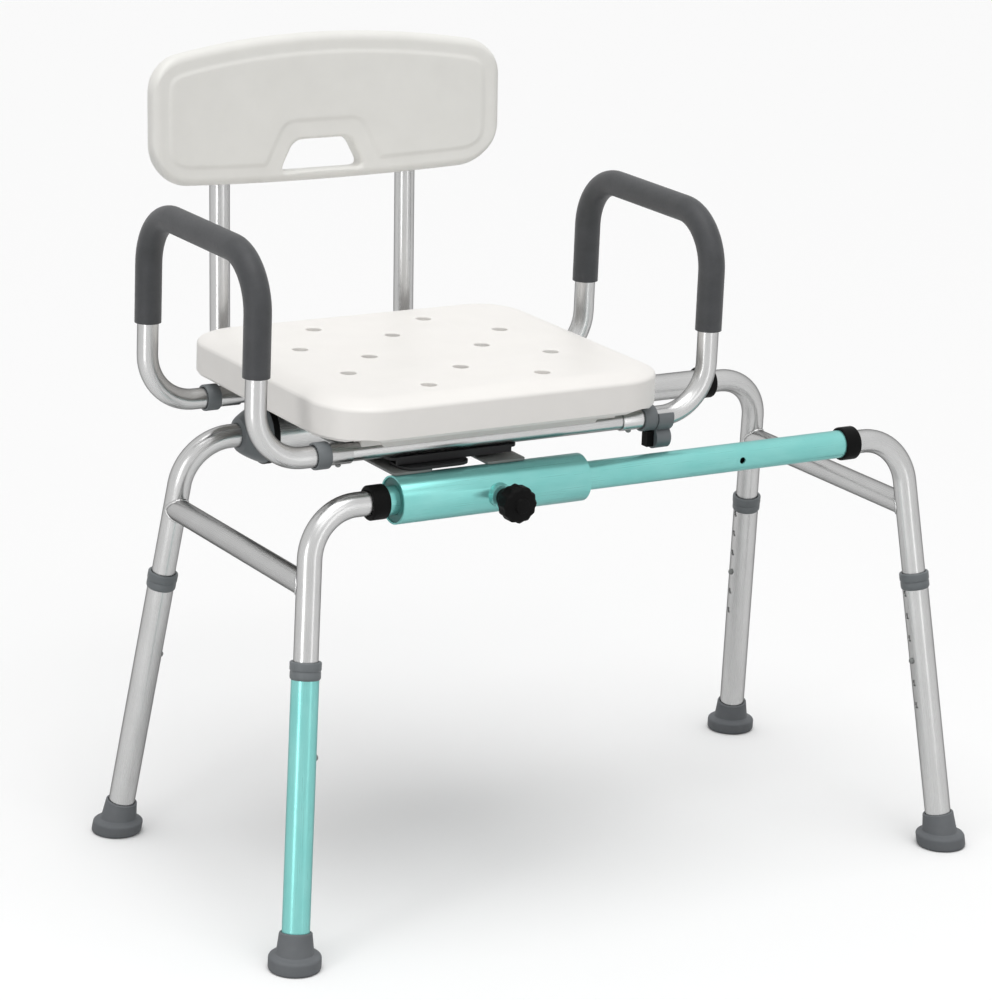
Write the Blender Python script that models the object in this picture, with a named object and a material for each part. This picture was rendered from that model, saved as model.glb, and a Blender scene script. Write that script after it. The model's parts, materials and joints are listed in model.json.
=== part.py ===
"""Sliding shower chair: a swivel seat on a carriage that slides along two rails, on four telescopic legs.

Metres, +Z up, the seat faces -Y and the rails run along X. The origin is on the floor, in the middle of the
chair's box. Every piece is an object of its own, and a moving piece hangs from an empty on its joint's axis.
"""
import math

import bmesh
import bpy
from mathutils import Matrix, Vector

# Clearances
GAP = 0.0003
FIT = 0.0003

# Base frame
RAIL_Z = 0.457
RAIL_Y = 0.1395
RAIL_R = 0.0150
RAIL_HALF = 0.297
LEG_SPREAD = 0.1085
FOOT_Y = 0.2102
LEG_IN = 0.0948
LEG_BEND_R = 0.055
LEG_UPPER_R = 0.0127
LEG_UPPER_BORE_R = 0.0114
LEG_UPPER_LOW = 0.085
LEG_PLUG = 0.050
LEG_LOWER_R = 0.0143
LEG_LOWER_TOP = 0.3095
LEG_COLLAR_R = 0.0162
LEG_COLLAR_TALL = 0.0155
LEG_COLLAR_LIP = 0.0030
LEG_COLLAR_EDGE = 0.0008
CROSSBAR_Z = 0.3810
CROSSBAR_R = 0.0123
CROSSBAR_BORE_R = 0.0110
RAIL_COLLAR_R = 0.0180
RAIL_COLLAR_OVER = 0.0170
RAIL_COLLAR_PAST = 0.0020
RAIL_COLLAR_EDGE = 0.0015
BUMPER_R = 0.0335
BUMPER_OVER = 0.0254
BUMPER_PAST = 0.0070
BUMPER_RIM = 0.003
BUMPER_TIP_R = 0.0165
BUMPER_STEPS = (0.0, 0.35, 0.7, 1.0)
BUMPER_BELL = 0.75

# Height setting
INDEX_PITCH = 0.0254
HOLES_BELOW = 2
HOLES_ABOVE = 3
BUTTON_AT = 0.2146
BUTTON_R = 0.0032
BUTTON_OUT = 0.0030
BUTTON_FLANGE_R = 0.0044
BUTTON_FLANGE_THICK = 0.0010
BUTTON_FLANGE_BACK = 0.0008
BUTTON_DOME = 0.0012
BUTTON_DOME_SHARE = 0.55
BUTTON_SIDES = 10
LEAF_LONG = 0.026
LEAF_WIDE = 0.0060
LEAF_THICK = 0.0008
LEAF_LEAN = 0.0050
LEAF_ABOVE = 0.0035

# Feet
FOOT_R = 0.0272
FOOT_TOP_R = 0.0170
FOOT_FLANGE_TALL = 0.0150
FOOT_TALL = 0.038
FOOT_SOLE = 0.010
FOOT_EDGE = 0.0035
FOOT_EDGE_STEPS = (0, 45, 90)
FOOT_TOP_EDGE = 0.001
FOOT_SHOULDER_R = 0.0194
FOOT_SHOULDER_TALL = 0.0015

# Carriage
SLEEVE_R = 0.025
SLEEVE_WALL = 0.002
SLEEVE_HALF = 0.1105
SLEEVE_STOP_GAP = 0.0099
BUSH_LONG = 0.018
BUSH_RECESS = 0.0012
LOCK_SHORT = 0.0142
LOCK_HOLE_R = 0.0036
SWIVEL_DX = -0.0331
SEAT_DX = 0.0404
CROSS_PLATE_WIDE = 0.046
CROSS_PLATE_DX = 0.0544
CROSS_PLATE_HALF_Y = 0.1415
CROSS_PLATE_THICK = 0.003
CROSS_PLATE_CORNER_R = 0.004
BASE_PLATE_HALF = 0.075
BASE_PLATE_THICK = 0.0025
BEARING_R = 0.060
BEARING_BORE_R = 0.044
BEARING_THICK = 0.0055
TOP_PLATE_HALF_X = 0.075
TOP_PLATE_OVERHANG = 0.006
TOP_PLATE_THICK = 0.003
TOP_PLATE_LIP = 0.0048
PLATE_CORNER_R = 0.008
PIVOT_R = 0.006
PIVOT_HEAD_R = 0.011
PIVOT_HEAD_TALL = 0.005

# Clamp knob
BOSS_R = 0.0125
BOSS_LONG = 0.008
BOSS_SIDES = 14
SCREW_R = 0.0030
PAD_R = 0.0045
PAD_THICK = 0.0030
KNOB_R = 0.0195
KNOB_THICK = 0.018
KNOB_OFF = 0.0185
KNOB_NECK_R = 0.0095
KNOB_LOBES = 12
KNOB_LOBE_DEEP = 0.0014
KNOB_HUB_R = 0.0085
KNOB_HUB_TALL = 0.003
KNOB_FACE_GAP = 0.001
KNOB_BACK_EDGE = 0.0015
KNOB_BACK_EDGE_TALL = 0.002
KNOB_FRONT_EDGE = 0.0025
KNOB_FRONT_EDGE_TALL = 0.003
KNOB_HUB_EDGE = 0.001
SCREW_SIDES = 12

# Swivel lever
LEVER_PIVOT_Y = -0.088
LEVER_PIVOT_DX = 0.006
LEVER_R = 0.0030
LEVER_ARM_WIDE = 0.016
LEVER_THICK = 0.0030
PADDLE_DX = -0.0253
PADDLE_Y = -0.120
PADDLE_HALF_X = 0.040
PADDLE_HALF_Y = 0.022
PADDLE_CORNER_R = 0.016
LEVER_TAIL_SHARE = 0.6
LEVER_NOSE_TAPER = 0.6
LEVER_TAIL_TAPER = 1.4

# Seat frame
SEAT_TUBE_R = 0.0095
SEAT_TUBE_BORE_R = 0.0080
SEAT_TUBE_Y = 0.1225
SEAT_TUBE_SHORT = 0.0010
ARM_X = 0.266
ARM_TOP_Z = 0.7136
ARM_R = 0.0111
ARM_END_X = 0.160
ARM_LOW_BEND_R = 0.054
ARM_TOP_BEND_R = 0.057
GRIP_R = 0.0140
GRIP_LOW_Z = 0.5948
ARM_COLLAR_PLACE = 0.0250
ARM_COLLAR_LONG = 0.0155
ARM_COLLAR_R = 0.0140
ARM_BUTTON_PLACE = 0.0120
ARM_BUTTON_R = 0.0030
ARM_BUTTON_OUT = 0.0028
ARM_BUTTON_FLANGE = 0.0010

# Rail clip on the right arm
CLIP_WIDE = 0.0185
CLIP_RING_R = 0.0150
CLIP_PLAY = 0.0018
CLIP_OPEN_Z = 0.006
CLIP_HOOK_R = 0.0118
CLIP_HOOK_BORE_R = 0.0070
CLIP_SLIT = 0.0080
CLIP_FINGER_LONG = 0.0060
CLIP_FINGER_WIDE = 0.0100
CLIP_FINGER_TALL = 0.0165
CLIP_RAIL_GAP = 0.0010
CLIP_HOOK_INSET = 0.0005
CLIP_FINGER_ROOT = 0.002
CLIP_FINGER_RISE = -0.0005

# Seat
SEAT_MID_X = 0.0035
SEAT_MID_Y = 0.0140
SEAT_HALF_X = 0.199
SEAT_HALF_Y = 0.1790
SEAT_FRONT_CORNER_R = 0.060
SEAT_REAR_CORNER_R = 0.056
SEAT_TOP_Z = 0.5670
SEAT_SIDE_TALL = 0.0415
SEAT_EDGE_R = 0.0050
SEAT_EDGE_STEPS = (0, 20, 40, 60)
SEAT_CROWN_TALL = 0.0065
SEAT_CROWN_IN = 0.028
SEAT_CROWN_STEPS = (0.25, 0.5, 0.75, 1.0)
SEAT_SKIN = 0.0100
SEAT_WALL = 0.0060
SEAT_HOLE_R = 0.0066
SEAT_LIP_IN = 0.002
SEAT_LIP_TALL = 0.003
SADDLE_WIDE = 0.018
SADDLE_LONG = 0.300
SADDLE_BED = 0.35
SADDLE_SINK = 0.001
HOLE_CENTRE_Y = 0.0070
HOLE_OUTER = (0.067, 0.124)
HOLE_SIDE = (0.1207, 0.0525)
HOLE_MID_Y = 0.0722
HOLE_MID_X = 0.0675

# Backrest
BACK_TUBE_X = 0.114
BACK_TUBE_R = 0.0111
BACK_TUBE_CORNER_Y = 0.2562
BACK_TUBE_FRONT_Y = 0.137
BACK_TUBE_TOP_Z = 0.800
BACK_TUBE_BEND_R = 0.040
BACK_LEAN = 0.0484
BACK_STUB_END_Y = 0.190
BACK_STUB_R = 0.0088
PANEL_HALF_X = 0.2118
PANEL_MID_Z = 0.775
PANEL_END_HALF_TALL = 0.0655
PANEL_TOP_ARCH = 0.020
PANEL_LOW_ARCH = 0.009
PANEL_TOP_CORNER_R = 0.034
PANEL_LOW_CORNER_R = 0.046
PANEL_SAG = 0.020
PANEL_THICK = 0.022
PANEL_EDGE_R = 0.0095
PANEL_EDGE_SHARE = 0.86
PANEL_EDGE_STEPS = (0, 45, 90)
PANEL_END_STEPS = (30, 46, 55, 64, 72, 79, 85, 90)
PANEL_SPANS = 5
PANEL_BEHIND = 0.0165
PANEL_BOSS_R = 0.0145
PANEL_BOSS_CAP = 0.006
HANDLE_TOP_W = 0.068
HANDLE_LOW_W = 0.104
HANDLE_TALL = 0.034
HANDLE_CORNER_R = 0.012
HANDLE_FLARE = 0.004
HANDLE_Z = -0.0457

TUBE_SIDES = 12
FINE_SIDES = 14
SLEEVE_SIDES = 24
BUSH_SIDES = 16
SMALL_SIDES = 10
BEND_STEPS = 5
DRILL_SIDES = 8
THROUGH = 0.030

# Sizes that follow from the ones above
LEG_BACK = (FOOT_Y - RAIL_Y) / RAIL_Z
LEG_LONG = math.sqrt(1 + LEG_IN ** 2 + LEG_BACK ** 2)
FOOT_X = RAIL_HALF + LEG_SPREAD
RAIL_COLLAR_IN = RAIL_HALF - RAIL_COLLAR_OVER
RAIL_COLLAR_OUT = RAIL_HALF + RAIL_COLLAR_PAST
BUMPER_IN = RAIL_HALF - BUMPER_OVER
BUMPER_OUT = RAIL_HALF + BUMPER_PAST
CARRIAGE_X = -(RAIL_COLLAR_IN - SLEEVE_STOP_GAP - SLEEVE_HALF)
SEAT_TUBE_HALF = ARM_X - ARM_LOW_BEND_R - SEAT_TUBE_SHORT
ARM_COLLAR_IN = ARM_END_X + ARM_COLLAR_PLACE
ARM_BUTTON_X = ARM_END_X + ARM_BUTTON_PLACE
SLEEVE_TOP_Z = RAIL_Z + SLEEVE_R
CROSS_PLATE_Z = SLEEVE_TOP_Z + GAP
BASE_PLATE_Z = CROSS_PLATE_Z + CROSS_PLATE_THICK + GAP
BEARING_Z = BASE_PLATE_Z + BASE_PLATE_THICK + GAP
TOP_PLATE_Z = BEARING_Z + BEARING_THICK + GAP
SEAT_TUBE_Z = TOP_PLATE_Z + TOP_PLATE_THICK + GAP + SEAT_TUBE_R
PADDLE_Z = CROSS_PLATE_Z + CROSS_PLATE_THICK + GAP
LEVER_Z = BEARING_Z
BACK_REACH = BACK_TUBE_CORNER_Y + (BACK_TUBE_TOP_Z - SEAT_TUBE_Z) * BACK_LEAN + PANEL_BOSS_R
MID_Y = (FOOT_Y - FOOT_EDGE * LEG_BACK + FOOT_R - BACK_REACH) / 2

CORNERS = (("FL", -1, -1), ("RL", -1, 1), ("FR", 1, -1), ("RR", 1, 1))


def clear_scene():
    for thing in list(bpy.data.objects):
        bpy.data.objects.remove(thing, do_unlink=True)


def material(name, color, roughness, metallic):
    made = bpy.data.materials.new(name)
    made.use_nodes = True
    shader = made.node_tree.nodes["Principled BSDF"]
    shader.inputs["Base Color"].default_value = (*color, 1.0)
    shader.inputs["Roughness"].default_value = roughness
    shader.inputs["Metallic"].default_value = metallic
    made.diffuse_color = (*color, 1.0)
    return made


def materials():
    return {
        "aluminium": material("aluminium", (0.72, 0.73, 0.74), 0.35, 1.0),
        "teal": material("teal_aluminium", (0.16, 0.62, 0.58), 0.32, 0.6),
        "steel": material("steel", (0.50, 0.50, 0.51), 0.40, 1.0),
        "grey": material("grey_plastic", (0.12, 0.125, 0.14), 0.55, 0.0),
        "black": material("black_plastic", (0.015, 0.015, 0.017), 0.50, 0.0),
        "black_metal": material("black_metal", (0.02, 0.02, 0.022), 0.45, 0.0),
        "foam": material("foam", (0.060, 0.064, 0.075), 0.90, 0.0),
        "seat": material("seat_plastic", (0.83, 0.81, 0.77), 0.45, 0.0),
        "back": material("back_plastic", (0.83, 0.81, 0.77), 0.45, 0.0),
        "rubber": material("rubber", (0.10, 0.105, 0.12), 0.80, 0.0),
        "bush": material("bush_plastic", (0.75, 0.76, 0.76), 0.50, 0.0),
    }


def empty(name, place, parent=None, turn=None):
    made = bpy.data.objects.new(name, None)
    bpy.context.scene.collection.objects.link(made)
    made.parent = parent
    made.location = place
    if turn is not None:
        made.rotation_euler = turn
    return made


def piece(name, bm, look, parent, place=(0, 0, 0), turn=None):
    """A node from a bmesh, shaded smooth with its real edges kept sharp."""
    bmesh.ops.remove_doubles(bm, verts=bm.verts, dist=1e-7)
    bmesh.ops.recalc_face_normals(bm, faces=bm.faces)
    mesh = bpy.data.meshes.new(name)
    bm.to_mesh(mesh)
    bm.free()
    mesh.shade_smooth()
    mesh.set_sharp_from_angle(angle=math.radians(35))
    made = bpy.data.objects.new(name, mesh)
    bpy.context.scene.collection.objects.link(made)
    made.parent = parent
    made.location = place
    if turn is not None:
        made.rotation_euler = turn
    if look is not None:
        mesh.materials.append(look)
    return made


def guide(name, bm, parent, place=(0, 0, 0), turn=None):
    """A cutter, which is hidden."""
    made = piece(name, bm, None, parent, place, turn)
    made.hide_render = True
    made.display_type = "WIRE"
    return made


def combine(target, other, operation):
    step = target.modifiers.new(other.name, "BOOLEAN")
    step.operation = operation
    step.solver = "EXACT"
    step.object = other


def loft(rings, bm=None, close=False):
    """Skins rings of equal length, and caps both ends or joins the last ring to the first."""
    bm = bm or bmesh.new()
    rows = [[bm.verts.new(p) for p in ring] for ring in rings]
    pairs = list(zip(rows, rows[1:]))
    if close:
        pairs.append((rows[-1], rows[0]))
    for low, high in pairs:
        count = len(low)
        for i in range(count):
            j = (i + 1) % count
            bm.faces.new((low[i], low[j], high[j], high[i]))
    if not close:
        bm.faces.new(list(reversed(rows[0])))
        bm.faces.new(rows[-1])
    return bm


def ring(centre, across, up, radius, sides):
    """The corners of a regular polygon round a centre, with the middle of a flat towards across."""
    out = []
    for i in range(sides):
        angle = 2 * math.pi * (i + 0.5) / sides
        out.append(Vector(centre) + across * (radius * math.cos(angle)) + up * (radius * math.sin(angle)))
    return out


def around(radius, sides):
    """The corner radius of a polygon whose flats stay outside this radius."""
    return radius / math.cos(math.pi / sides)


def turned(profile, sides):
    """A solid turned about local Z, from (radius, height) pairs that run from one end to the other."""
    across, up = Vector((1, 0, 0)), Vector((0, 1, 0))
    return loft([ring((0, 0, h), across, up, r, sides) for r, h in profile])


def hollow_turned(profile, sides):
    """A ring-shaped solid turned about local Z, from a closed run of (radius, height) pairs."""
    across, up = Vector((1, 0, 0)), Vector((0, 1, 0))
    return loft([ring((0, 0, h), across, up, r, sides) for r, h in profile], close=True)


def pipe(outer, inner, low, high, sides):
    """A straight tube along local Z."""
    return hollow_turned([(outer, low), (outer, high), (inner, high), (inner, low)], sides)


def bent_route(corners, radii, steps):
    """Points along a run of straights, with each inner corner rounded to its radius."""
    corners = [Vector(c) for c in corners]
    route = [corners[0]]
    for before, corner, after, radius in zip(corners, corners[1:], corners[2:], radii):
        back = (before - corner).normalized()
        ahead = (after - corner).normalized()
        half = back.angle(ahead) / 2
        middle = corner + (back + ahead).normalized() * (radius / math.sin(half))
        start = corner + back * (radius / math.tan(half))
        end = corner + ahead * (radius / math.tan(half))
        a, b = start - middle, end - middle
        sweep = a.angle(b)
        for i in range(steps + 1):
            t = i / steps
            share = math.sin(sweep)
            spoke = a * (math.sin((1 - t) * sweep) / share) + b * (math.sin(t * sweep) / share)
            route.append(middle + spoke)
    route.append(corners[-1])
    return route


def frames(route, start):
    """The across and up directions at each point of a route, carried along without twist."""
    out = []
    across = start
    for i, point in enumerate(route):
        before = route[max(i - 1, 0)]
        after = route[min(i + 1, len(route) - 1)]
        ahead = (after - point).normalized() if i == 0 else (point - before).normalized()
        if 0 < i < len(route) - 1:
            ahead = (ahead + (after - point).normalized()).normalized()
        across = (across - ahead * across.dot(ahead)).normalized()
        out.append((point, across, ahead.cross(across)))
    return out


def swept(route, radius, sides, start):
    """One ring of points round each point of a route."""
    return [ring(p, across, up, radius, sides) for p, across, up in frames(route, start)]


def bent_pipe(route, outer, inner, sides, start):
    """A tube along a route, open at both ends."""
    return loft(swept(route, outer, sides, start) + swept(route, inner, sides, start)[::-1], close=True)


def plate(half_x, half_y, thick, corner, steps=3):
    """A flat plate with rounded corners, its underside on local Z 0."""
    outline = []
    for quarter, (sx, sy) in enumerate(((1, 1), (-1, 1), (-1, -1), (1, -1))):
        for i in range(steps + 1):
            angle = math.pi / 2 * (quarter + i / steps)
            outline.append(
                Vector(
                    (
                        sx * (half_x - corner) + corner * math.cos(angle),
                        sy * (half_y - corner) + corner * math.sin(angle),
                        0,
                    )
                )
            )
    return loft([outline, [p + Vector((0, 0, thick)) for p in outline]])


def leg_axis(sx, sy):
    """The unit direction of a leg, from its foot up to its bend."""
    return Vector((-sx * LEG_IN, -sy * LEG_BACK, 1)).normalized()


def leg_point(sx, sy, z):
    """The leg's centre line at a height."""
    return Vector((sx * (FOOT_X - z * LEG_IN), sy * (FOOT_Y - z * LEG_BACK), z))


def leg_inward(sx, sy):
    """Square to the leg, towards the middle of the chair along X."""
    axis = leg_axis(sx, sy)
    side = Vector((-sx, 0, 0))
    return (side - axis * side.dot(axis)).normalized()


def leg_turn(sx, sy):
    """The rotation whose Z is the leg's axis and whose X points inward."""
    axis, inward = leg_axis(sx, sy), leg_inward(sx, sy)
    turn = Matrix((inward, axis.cross(inward), axis)).transposed()
    return turn.to_euler()


def make_rails(root, looks):
    along_x = (0, math.radians(90), 0)
    bore = around(LEG_UPPER_R + FIT, TUBE_SIDES)
    for name, side, look in (("rail_front", -1, "teal"), ("rail_rear", 1, "aluminium")):
        bm = pipe(RAIL_R, bore, -RAIL_HALF, RAIL_HALF, TUBE_SIDES)
        rail = piece(name, bm, looks[look], root, (0, side * RAIL_Y, RAIL_Z), along_x)
        if side < 0:
            for tag, x in (("rest", CARRIAGE_X), ("far", -CARRIAGE_X - LOCK_SHORT)):
                drill = turned([(LOCK_HOLE_R, 0), (LOCK_HOLE_R, 2 * RAIL_R)], DRILL_SIDES)
                place = (x, -RAIL_Y, RAIL_Z)
                cutter = guide(f"cut_lock_{tag}", drill, root, place, (math.radians(90), 0, 0))
                combine(rail, cutter, "DIFFERENCE")


def make_rail_collars(root, looks):
    """The plastic ends of the rails. The left one of the rear rail is a wide bumper, the others are plain."""
    bore = around(RAIL_R + FIT, FINE_SIDES)
    leg_bore = around(LEG_UPPER_R + FIT, FINE_SIDES)
    shoulder = RAIL_HALF + GAP
    plain = [
        (RAIL_COLLAR_R - RAIL_COLLAR_EDGE, RAIL_COLLAR_IN),
        (RAIL_COLLAR_R, RAIL_COLLAR_IN + RAIL_COLLAR_EDGE),
        (RAIL_COLLAR_R, RAIL_COLLAR_OUT - RAIL_COLLAR_EDGE),
        (RAIL_COLLAR_R - RAIL_COLLAR_EDGE, RAIL_COLLAR_OUT),
    ]
    bell = [(BUMPER_R - RAIL_COLLAR_EDGE, BUMPER_IN), (BUMPER_R, BUMPER_IN + RAIL_COLLAR_EDGE)]
    drop = BUMPER_R - BUMPER_TIP_R
    begin = BUMPER_IN + BUMPER_RIM
    for share in BUMPER_STEPS:
        radius = BUMPER_TIP_R + drop * (1 - share) ** BUMPER_BELL
        bell.append((radius, begin + share * (BUMPER_OUT - begin)))
    for tag, sx, sy in CORNERS:
        bumper = tag == "RL"
        start, end = (BUMPER_IN, BUMPER_OUT) if bumper else (RAIL_COLLAR_IN, RAIL_COLLAR_OUT)
        inside = [(leg_bore, end), (leg_bore, shoulder), (bore, shoulder), (bore, start)]
        bm = hollow_turned((bell if bumper else plain) + inside, FINE_SIDES)
        place = (0, sy * RAIL_Y, RAIL_Z)
        look = looks["grey" if bumper else "black"]
        piece(f"rail_collar_{tag}", bm, look, root, place, (0, sx * math.radians(90), 0))


def make_upper_leg(root, looks, tag, sx, sy):
    low = LEG_UPPER_LOW / LEG_LONG
    corners = [
        leg_point(sx, sy, low),
        leg_point(sx, sy, RAIL_Z),
        Vector((sx * (RAIL_HALF - LEG_PLUG), sy * RAIL_Y, RAIL_Z)),
    ]
    route = bent_route(corners, [LEG_BEND_R], BEND_STEPS)
    bm = bent_pipe(route, LEG_UPPER_R, LEG_UPPER_BORE_R, TUBE_SIDES, leg_inward(sx, sy))
    leg = piece(f"leg_upper_{tag}", bm, looks["aluminium"], root)
    combine(leg, button_drill(f"cut_upper_{tag}", root, sx, sy, BUTTON_AT), "DIFFERENCE")


def button_drill(name, parent, sx, sy, along):
    """A cutter through the inner wall of a leg, at a distance along it."""
    bore = around(BUTTON_R + FIT, DRILL_SIDES)
    drill = turned([(bore, 0), (bore, 2 * LEG_LOWER_R)], DRILL_SIDES)
    foot = leg_point(sx, sy, 0)
    inward = leg_inward(sx, sy)
    place = foot + leg_axis(sx, sy) * along
    return guide(name, drill, parent, place, inward.to_track_quat("Z", "Y").to_euler())


def make_lower_leg(root, looks, tag, sx, sy):
    """The outer tube with its index holes, its collar and its rubber foot, which move together."""
    frame = empty(f"leg_frame_{tag}", leg_point(sx, sy, 0), root, leg_turn(sx, sy))
    bore = around(LEG_UPPER_R + FIT, TUBE_SIDES)
    look = looks["teal"] if tag == "FL" else looks["aluminium"]
    bm = pipe(LEG_LOWER_R, bore, FOOT_SOLE + GAP, LEG_LOWER_TOP, TUBE_SIDES)
    leg = piece(f"leg_lower_{tag}", bm, look, frame)
    for step in range(-HOLES_BELOW, HOLES_ABOVE + 1):
        along = BUTTON_AT + step * INDEX_PITCH
        cut = button_drill(f"cut_index_{tag}_{step + HOLES_BELOW}", root, sx, sy, along)
        combine(leg, cut, "DIFFERENCE")

    tube = around(LEG_LOWER_R + GAP, FINE_SIDES)
    top = LEG_LOWER_TOP + GAP
    collar = hollow_turned(
        [
            (LEG_COLLAR_R - LEG_COLLAR_EDGE, top - LEG_COLLAR_TALL),
            (LEG_COLLAR_R, top - LEG_COLLAR_TALL + LEG_COLLAR_EDGE),
            (LEG_COLLAR_R, top + LEG_COLLAR_LIP - LEG_COLLAR_EDGE),
            (LEG_COLLAR_R - LEG_COLLAR_EDGE, top + LEG_COLLAR_LIP),
            (around(LEG_UPPER_R + FIT, FINE_SIDES), top + LEG_COLLAR_LIP),
            (around(LEG_UPPER_R + FIT, FINE_SIDES), top),
            (tube, top),
            (tube, top - LEG_COLLAR_TALL),
        ],
        FINE_SIDES,
    )
    piece(f"leg_collar_{tag}", collar, looks["grey"], frame)
    make_foot(root, looks, tag, sx, sy)


def make_foot(root, looks, tag, sx, sy):
    """A rubber tip: flat on the floor, then turning square to the leg, with a blind bore for the tube."""
    axis, inward = leg_axis(sx, sy), leg_inward(sx, sy)
    aside = axis.cross(inward)
    foot = leg_point(sx, sy, 0)
    flat_x = Vector((inward.x, inward.y, 0)).normalized()
    flat_y = Vector((0, 0, 1)).cross(flat_x)
    bore = around(LEG_LOWER_R + GAP, FINE_SIDES)

    def level(radius, z):
        return ring(foot + axis * (z / axis.z), flat_x, flat_y, radius, FINE_SIDES)

    def square(radius, along):
        return ring(foot + axis * along, inward, aside, radius, FINE_SIDES)

    turns = [math.radians(a) for a in FOOT_EDGE_STEPS]
    edge = [(FOOT_EDGE * (1 - math.cos(a)), FOOT_EDGE * (1 - math.sin(a))) for a in turns]
    rings = [
        *[level(FOOT_R - far, near) for near, far in edge],
        *[level(FOOT_R - near, FOOT_FLANGE_TALL - far) for near, far in edge],
        level(FOOT_SHOULDER_R, FOOT_FLANGE_TALL + FOOT_SHOULDER_TALL),
        square(FOOT_TOP_R, FOOT_TALL - FOOT_TOP_EDGE),
        square(FOOT_TOP_R - FOOT_TOP_EDGE, FOOT_TALL),
        square(bore, FOOT_TALL),
        square(bore, FOOT_SOLE),
    ]
    bm = loft([[p - foot for p in r] for r in rings])
    piece(f"foot_{tag}", bm, looks["rubber"], root, foot)


def make_leg_button(root, looks, tag, sx, sy):
    """A sprung button: a pin through both tubes, a flange behind the wall and the leaf that carries it."""
    wall = LEG_UPPER_BORE_R * math.cos(math.pi / TUBE_SIDES) - GAP
    tip = LEG_LOWER_R + BUTTON_OUT
    place = leg_point(sx, sy, 0) + leg_axis(sx, sy) * BUTTON_AT
    frame = empty(f"button_axis_{tag}", place, root, leg_turn(sx, sy))
    inner = wall - BUTTON_FLANGE_BACK
    pin = turned(
        [
            (BUTTON_FLANGE_R, inner - BUTTON_FLANGE_THICK),
            (BUTTON_FLANGE_R, inner),
            (BUTTON_R, inner),
            (BUTTON_R, tip - BUTTON_DOME),
            (BUTTON_R * BUTTON_DOME_SHARE, tip),
        ],
        BUTTON_SIDES,
    )
    button = piece(f"leg_button_{tag}", pin, looks["steel"], frame, (0, 0, 0), (0, math.radians(90), 0))
    back = inner - BUTTON_FLANGE_THICK
    leaf = []
    for z, x in ((LEAF_ABOVE, back), (-LEAF_LONG, back - LEAF_LEAN)):
        leaf.append([Vector((x + dx, y, z)) for dx, y in leaf_section()])
    strip = guide(f"add_leaf_{tag}", loft(leaf), frame)
    combine(button, strip, "UNION")


def leaf_section():
    half = LEAF_WIDE / 2
    sunk = BUTTON_FLANGE_THICK / 2
    return ((sunk, -half), (sunk, half), (sunk - LEAF_THICK, half), (sunk - LEAF_THICK, -half))


def make_crossbar(root, looks, tag, sx):
    """A tube between the front and rear legs of one side, its ends shaped to the legs."""
    end = leg_point(sx, 1, CROSSBAR_Z)
    bm = pipe(CROSSBAR_R, CROSSBAR_BORE_R, -end.y, end.y, TUBE_SIDES)
    bar = piece(f"crossbar_{tag}", bm, looks["aluminium"], root, (end.x, 0, end.z), (math.radians(90), 0, 0))
    for side, sy in (("F", -1), ("R", 1)):
        cope = turned([(LEG_UPPER_R + GAP, -THROUGH), (LEG_UPPER_R + GAP, THROUGH)], TUBE_SIDES)
        place = leg_point(sx, sy, CROSSBAR_Z)
        cut = guide(f"cut_cope_{side}{tag}", cope, root, place, leg_turn(sx, sy))
        combine(bar, cut, "DIFFERENCE")


def make_sleeve(carriage, looks, name, side, look):
    along_x = (0, math.radians(90), 0)
    bore_r = SLEEVE_R - SLEEVE_WALL
    place = (0, side * RAIL_Y, RAIL_Z)
    bm = pipe(SLEEVE_R, bore_r, -SLEEVE_HALF, SLEEVE_HALF, SLEEVE_SIDES)
    sleeve = piece(f"sleeve_{name}", bm, looks[look], carriage, place, along_x)
    if side < 0:
        boss = turned([(BOSS_R, bore_r + SLEEVE_WALL / 3), (BOSS_R, SLEEVE_R + BOSS_LONG)], BOSS_SIDES)
        facing = (math.radians(90), 0, 0)
        combine(sleeve, guide("add_boss", boss, carriage, place, facing), "UNION")
        hole = around(SCREW_R + FIT, SCREW_SIDES)
        drill = turned([(hole, 0), (hole, SLEEVE_R + BOSS_LONG + THROUGH)], SCREW_SIDES)
        combine(sleeve, guide("cut_screw", drill, carriage, place, facing), "DIFFERENCE")
    for tag, sx in (("L", -1), ("R", 1)):
        outer = bore_r * math.cos(math.pi / SLEEVE_SIDES) - GAP
        end = SLEEVE_HALF - BUSH_RECESS
        bush = pipe(outer, around(RAIL_R + FIT, BUSH_SIDES), end - BUSH_LONG, end, BUSH_SIDES)
        piece(f"bush_{name}_{tag}", bush, looks["bush"], carriage, place, (0, sx * math.radians(90), 0))


def make_cross_plates(carriage, looks):
    for tag, side in (("L", -1), ("R", 1)):
        bm = plate(CROSS_PLATE_WIDE / 2, CROSS_PLATE_HALF_Y, CROSS_PLATE_THICK, CROSS_PLATE_CORNER_R, 2)
        place = (SWIVEL_DX + side * CROSS_PLATE_DX, 0, CROSS_PLATE_Z)
        made = piece(f"cross_plate_{tag}", bm, looks["aluminium"], carriage, place)
        if side < 0:
            hole = around(LEVER_R + FIT, SMALL_SIDES)
            drill = turned([(hole, -THROUGH), (hole, THROUGH)], SMALL_SIDES)
            at = (SWIVEL_DX - CROSS_PLATE_DX + LEVER_PIVOT_DX, LEVER_PIVOT_Y, CROSS_PLATE_Z)
            combine(made, guide("cut_lever_pin", drill, carriage, at), "DIFFERENCE")


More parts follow.
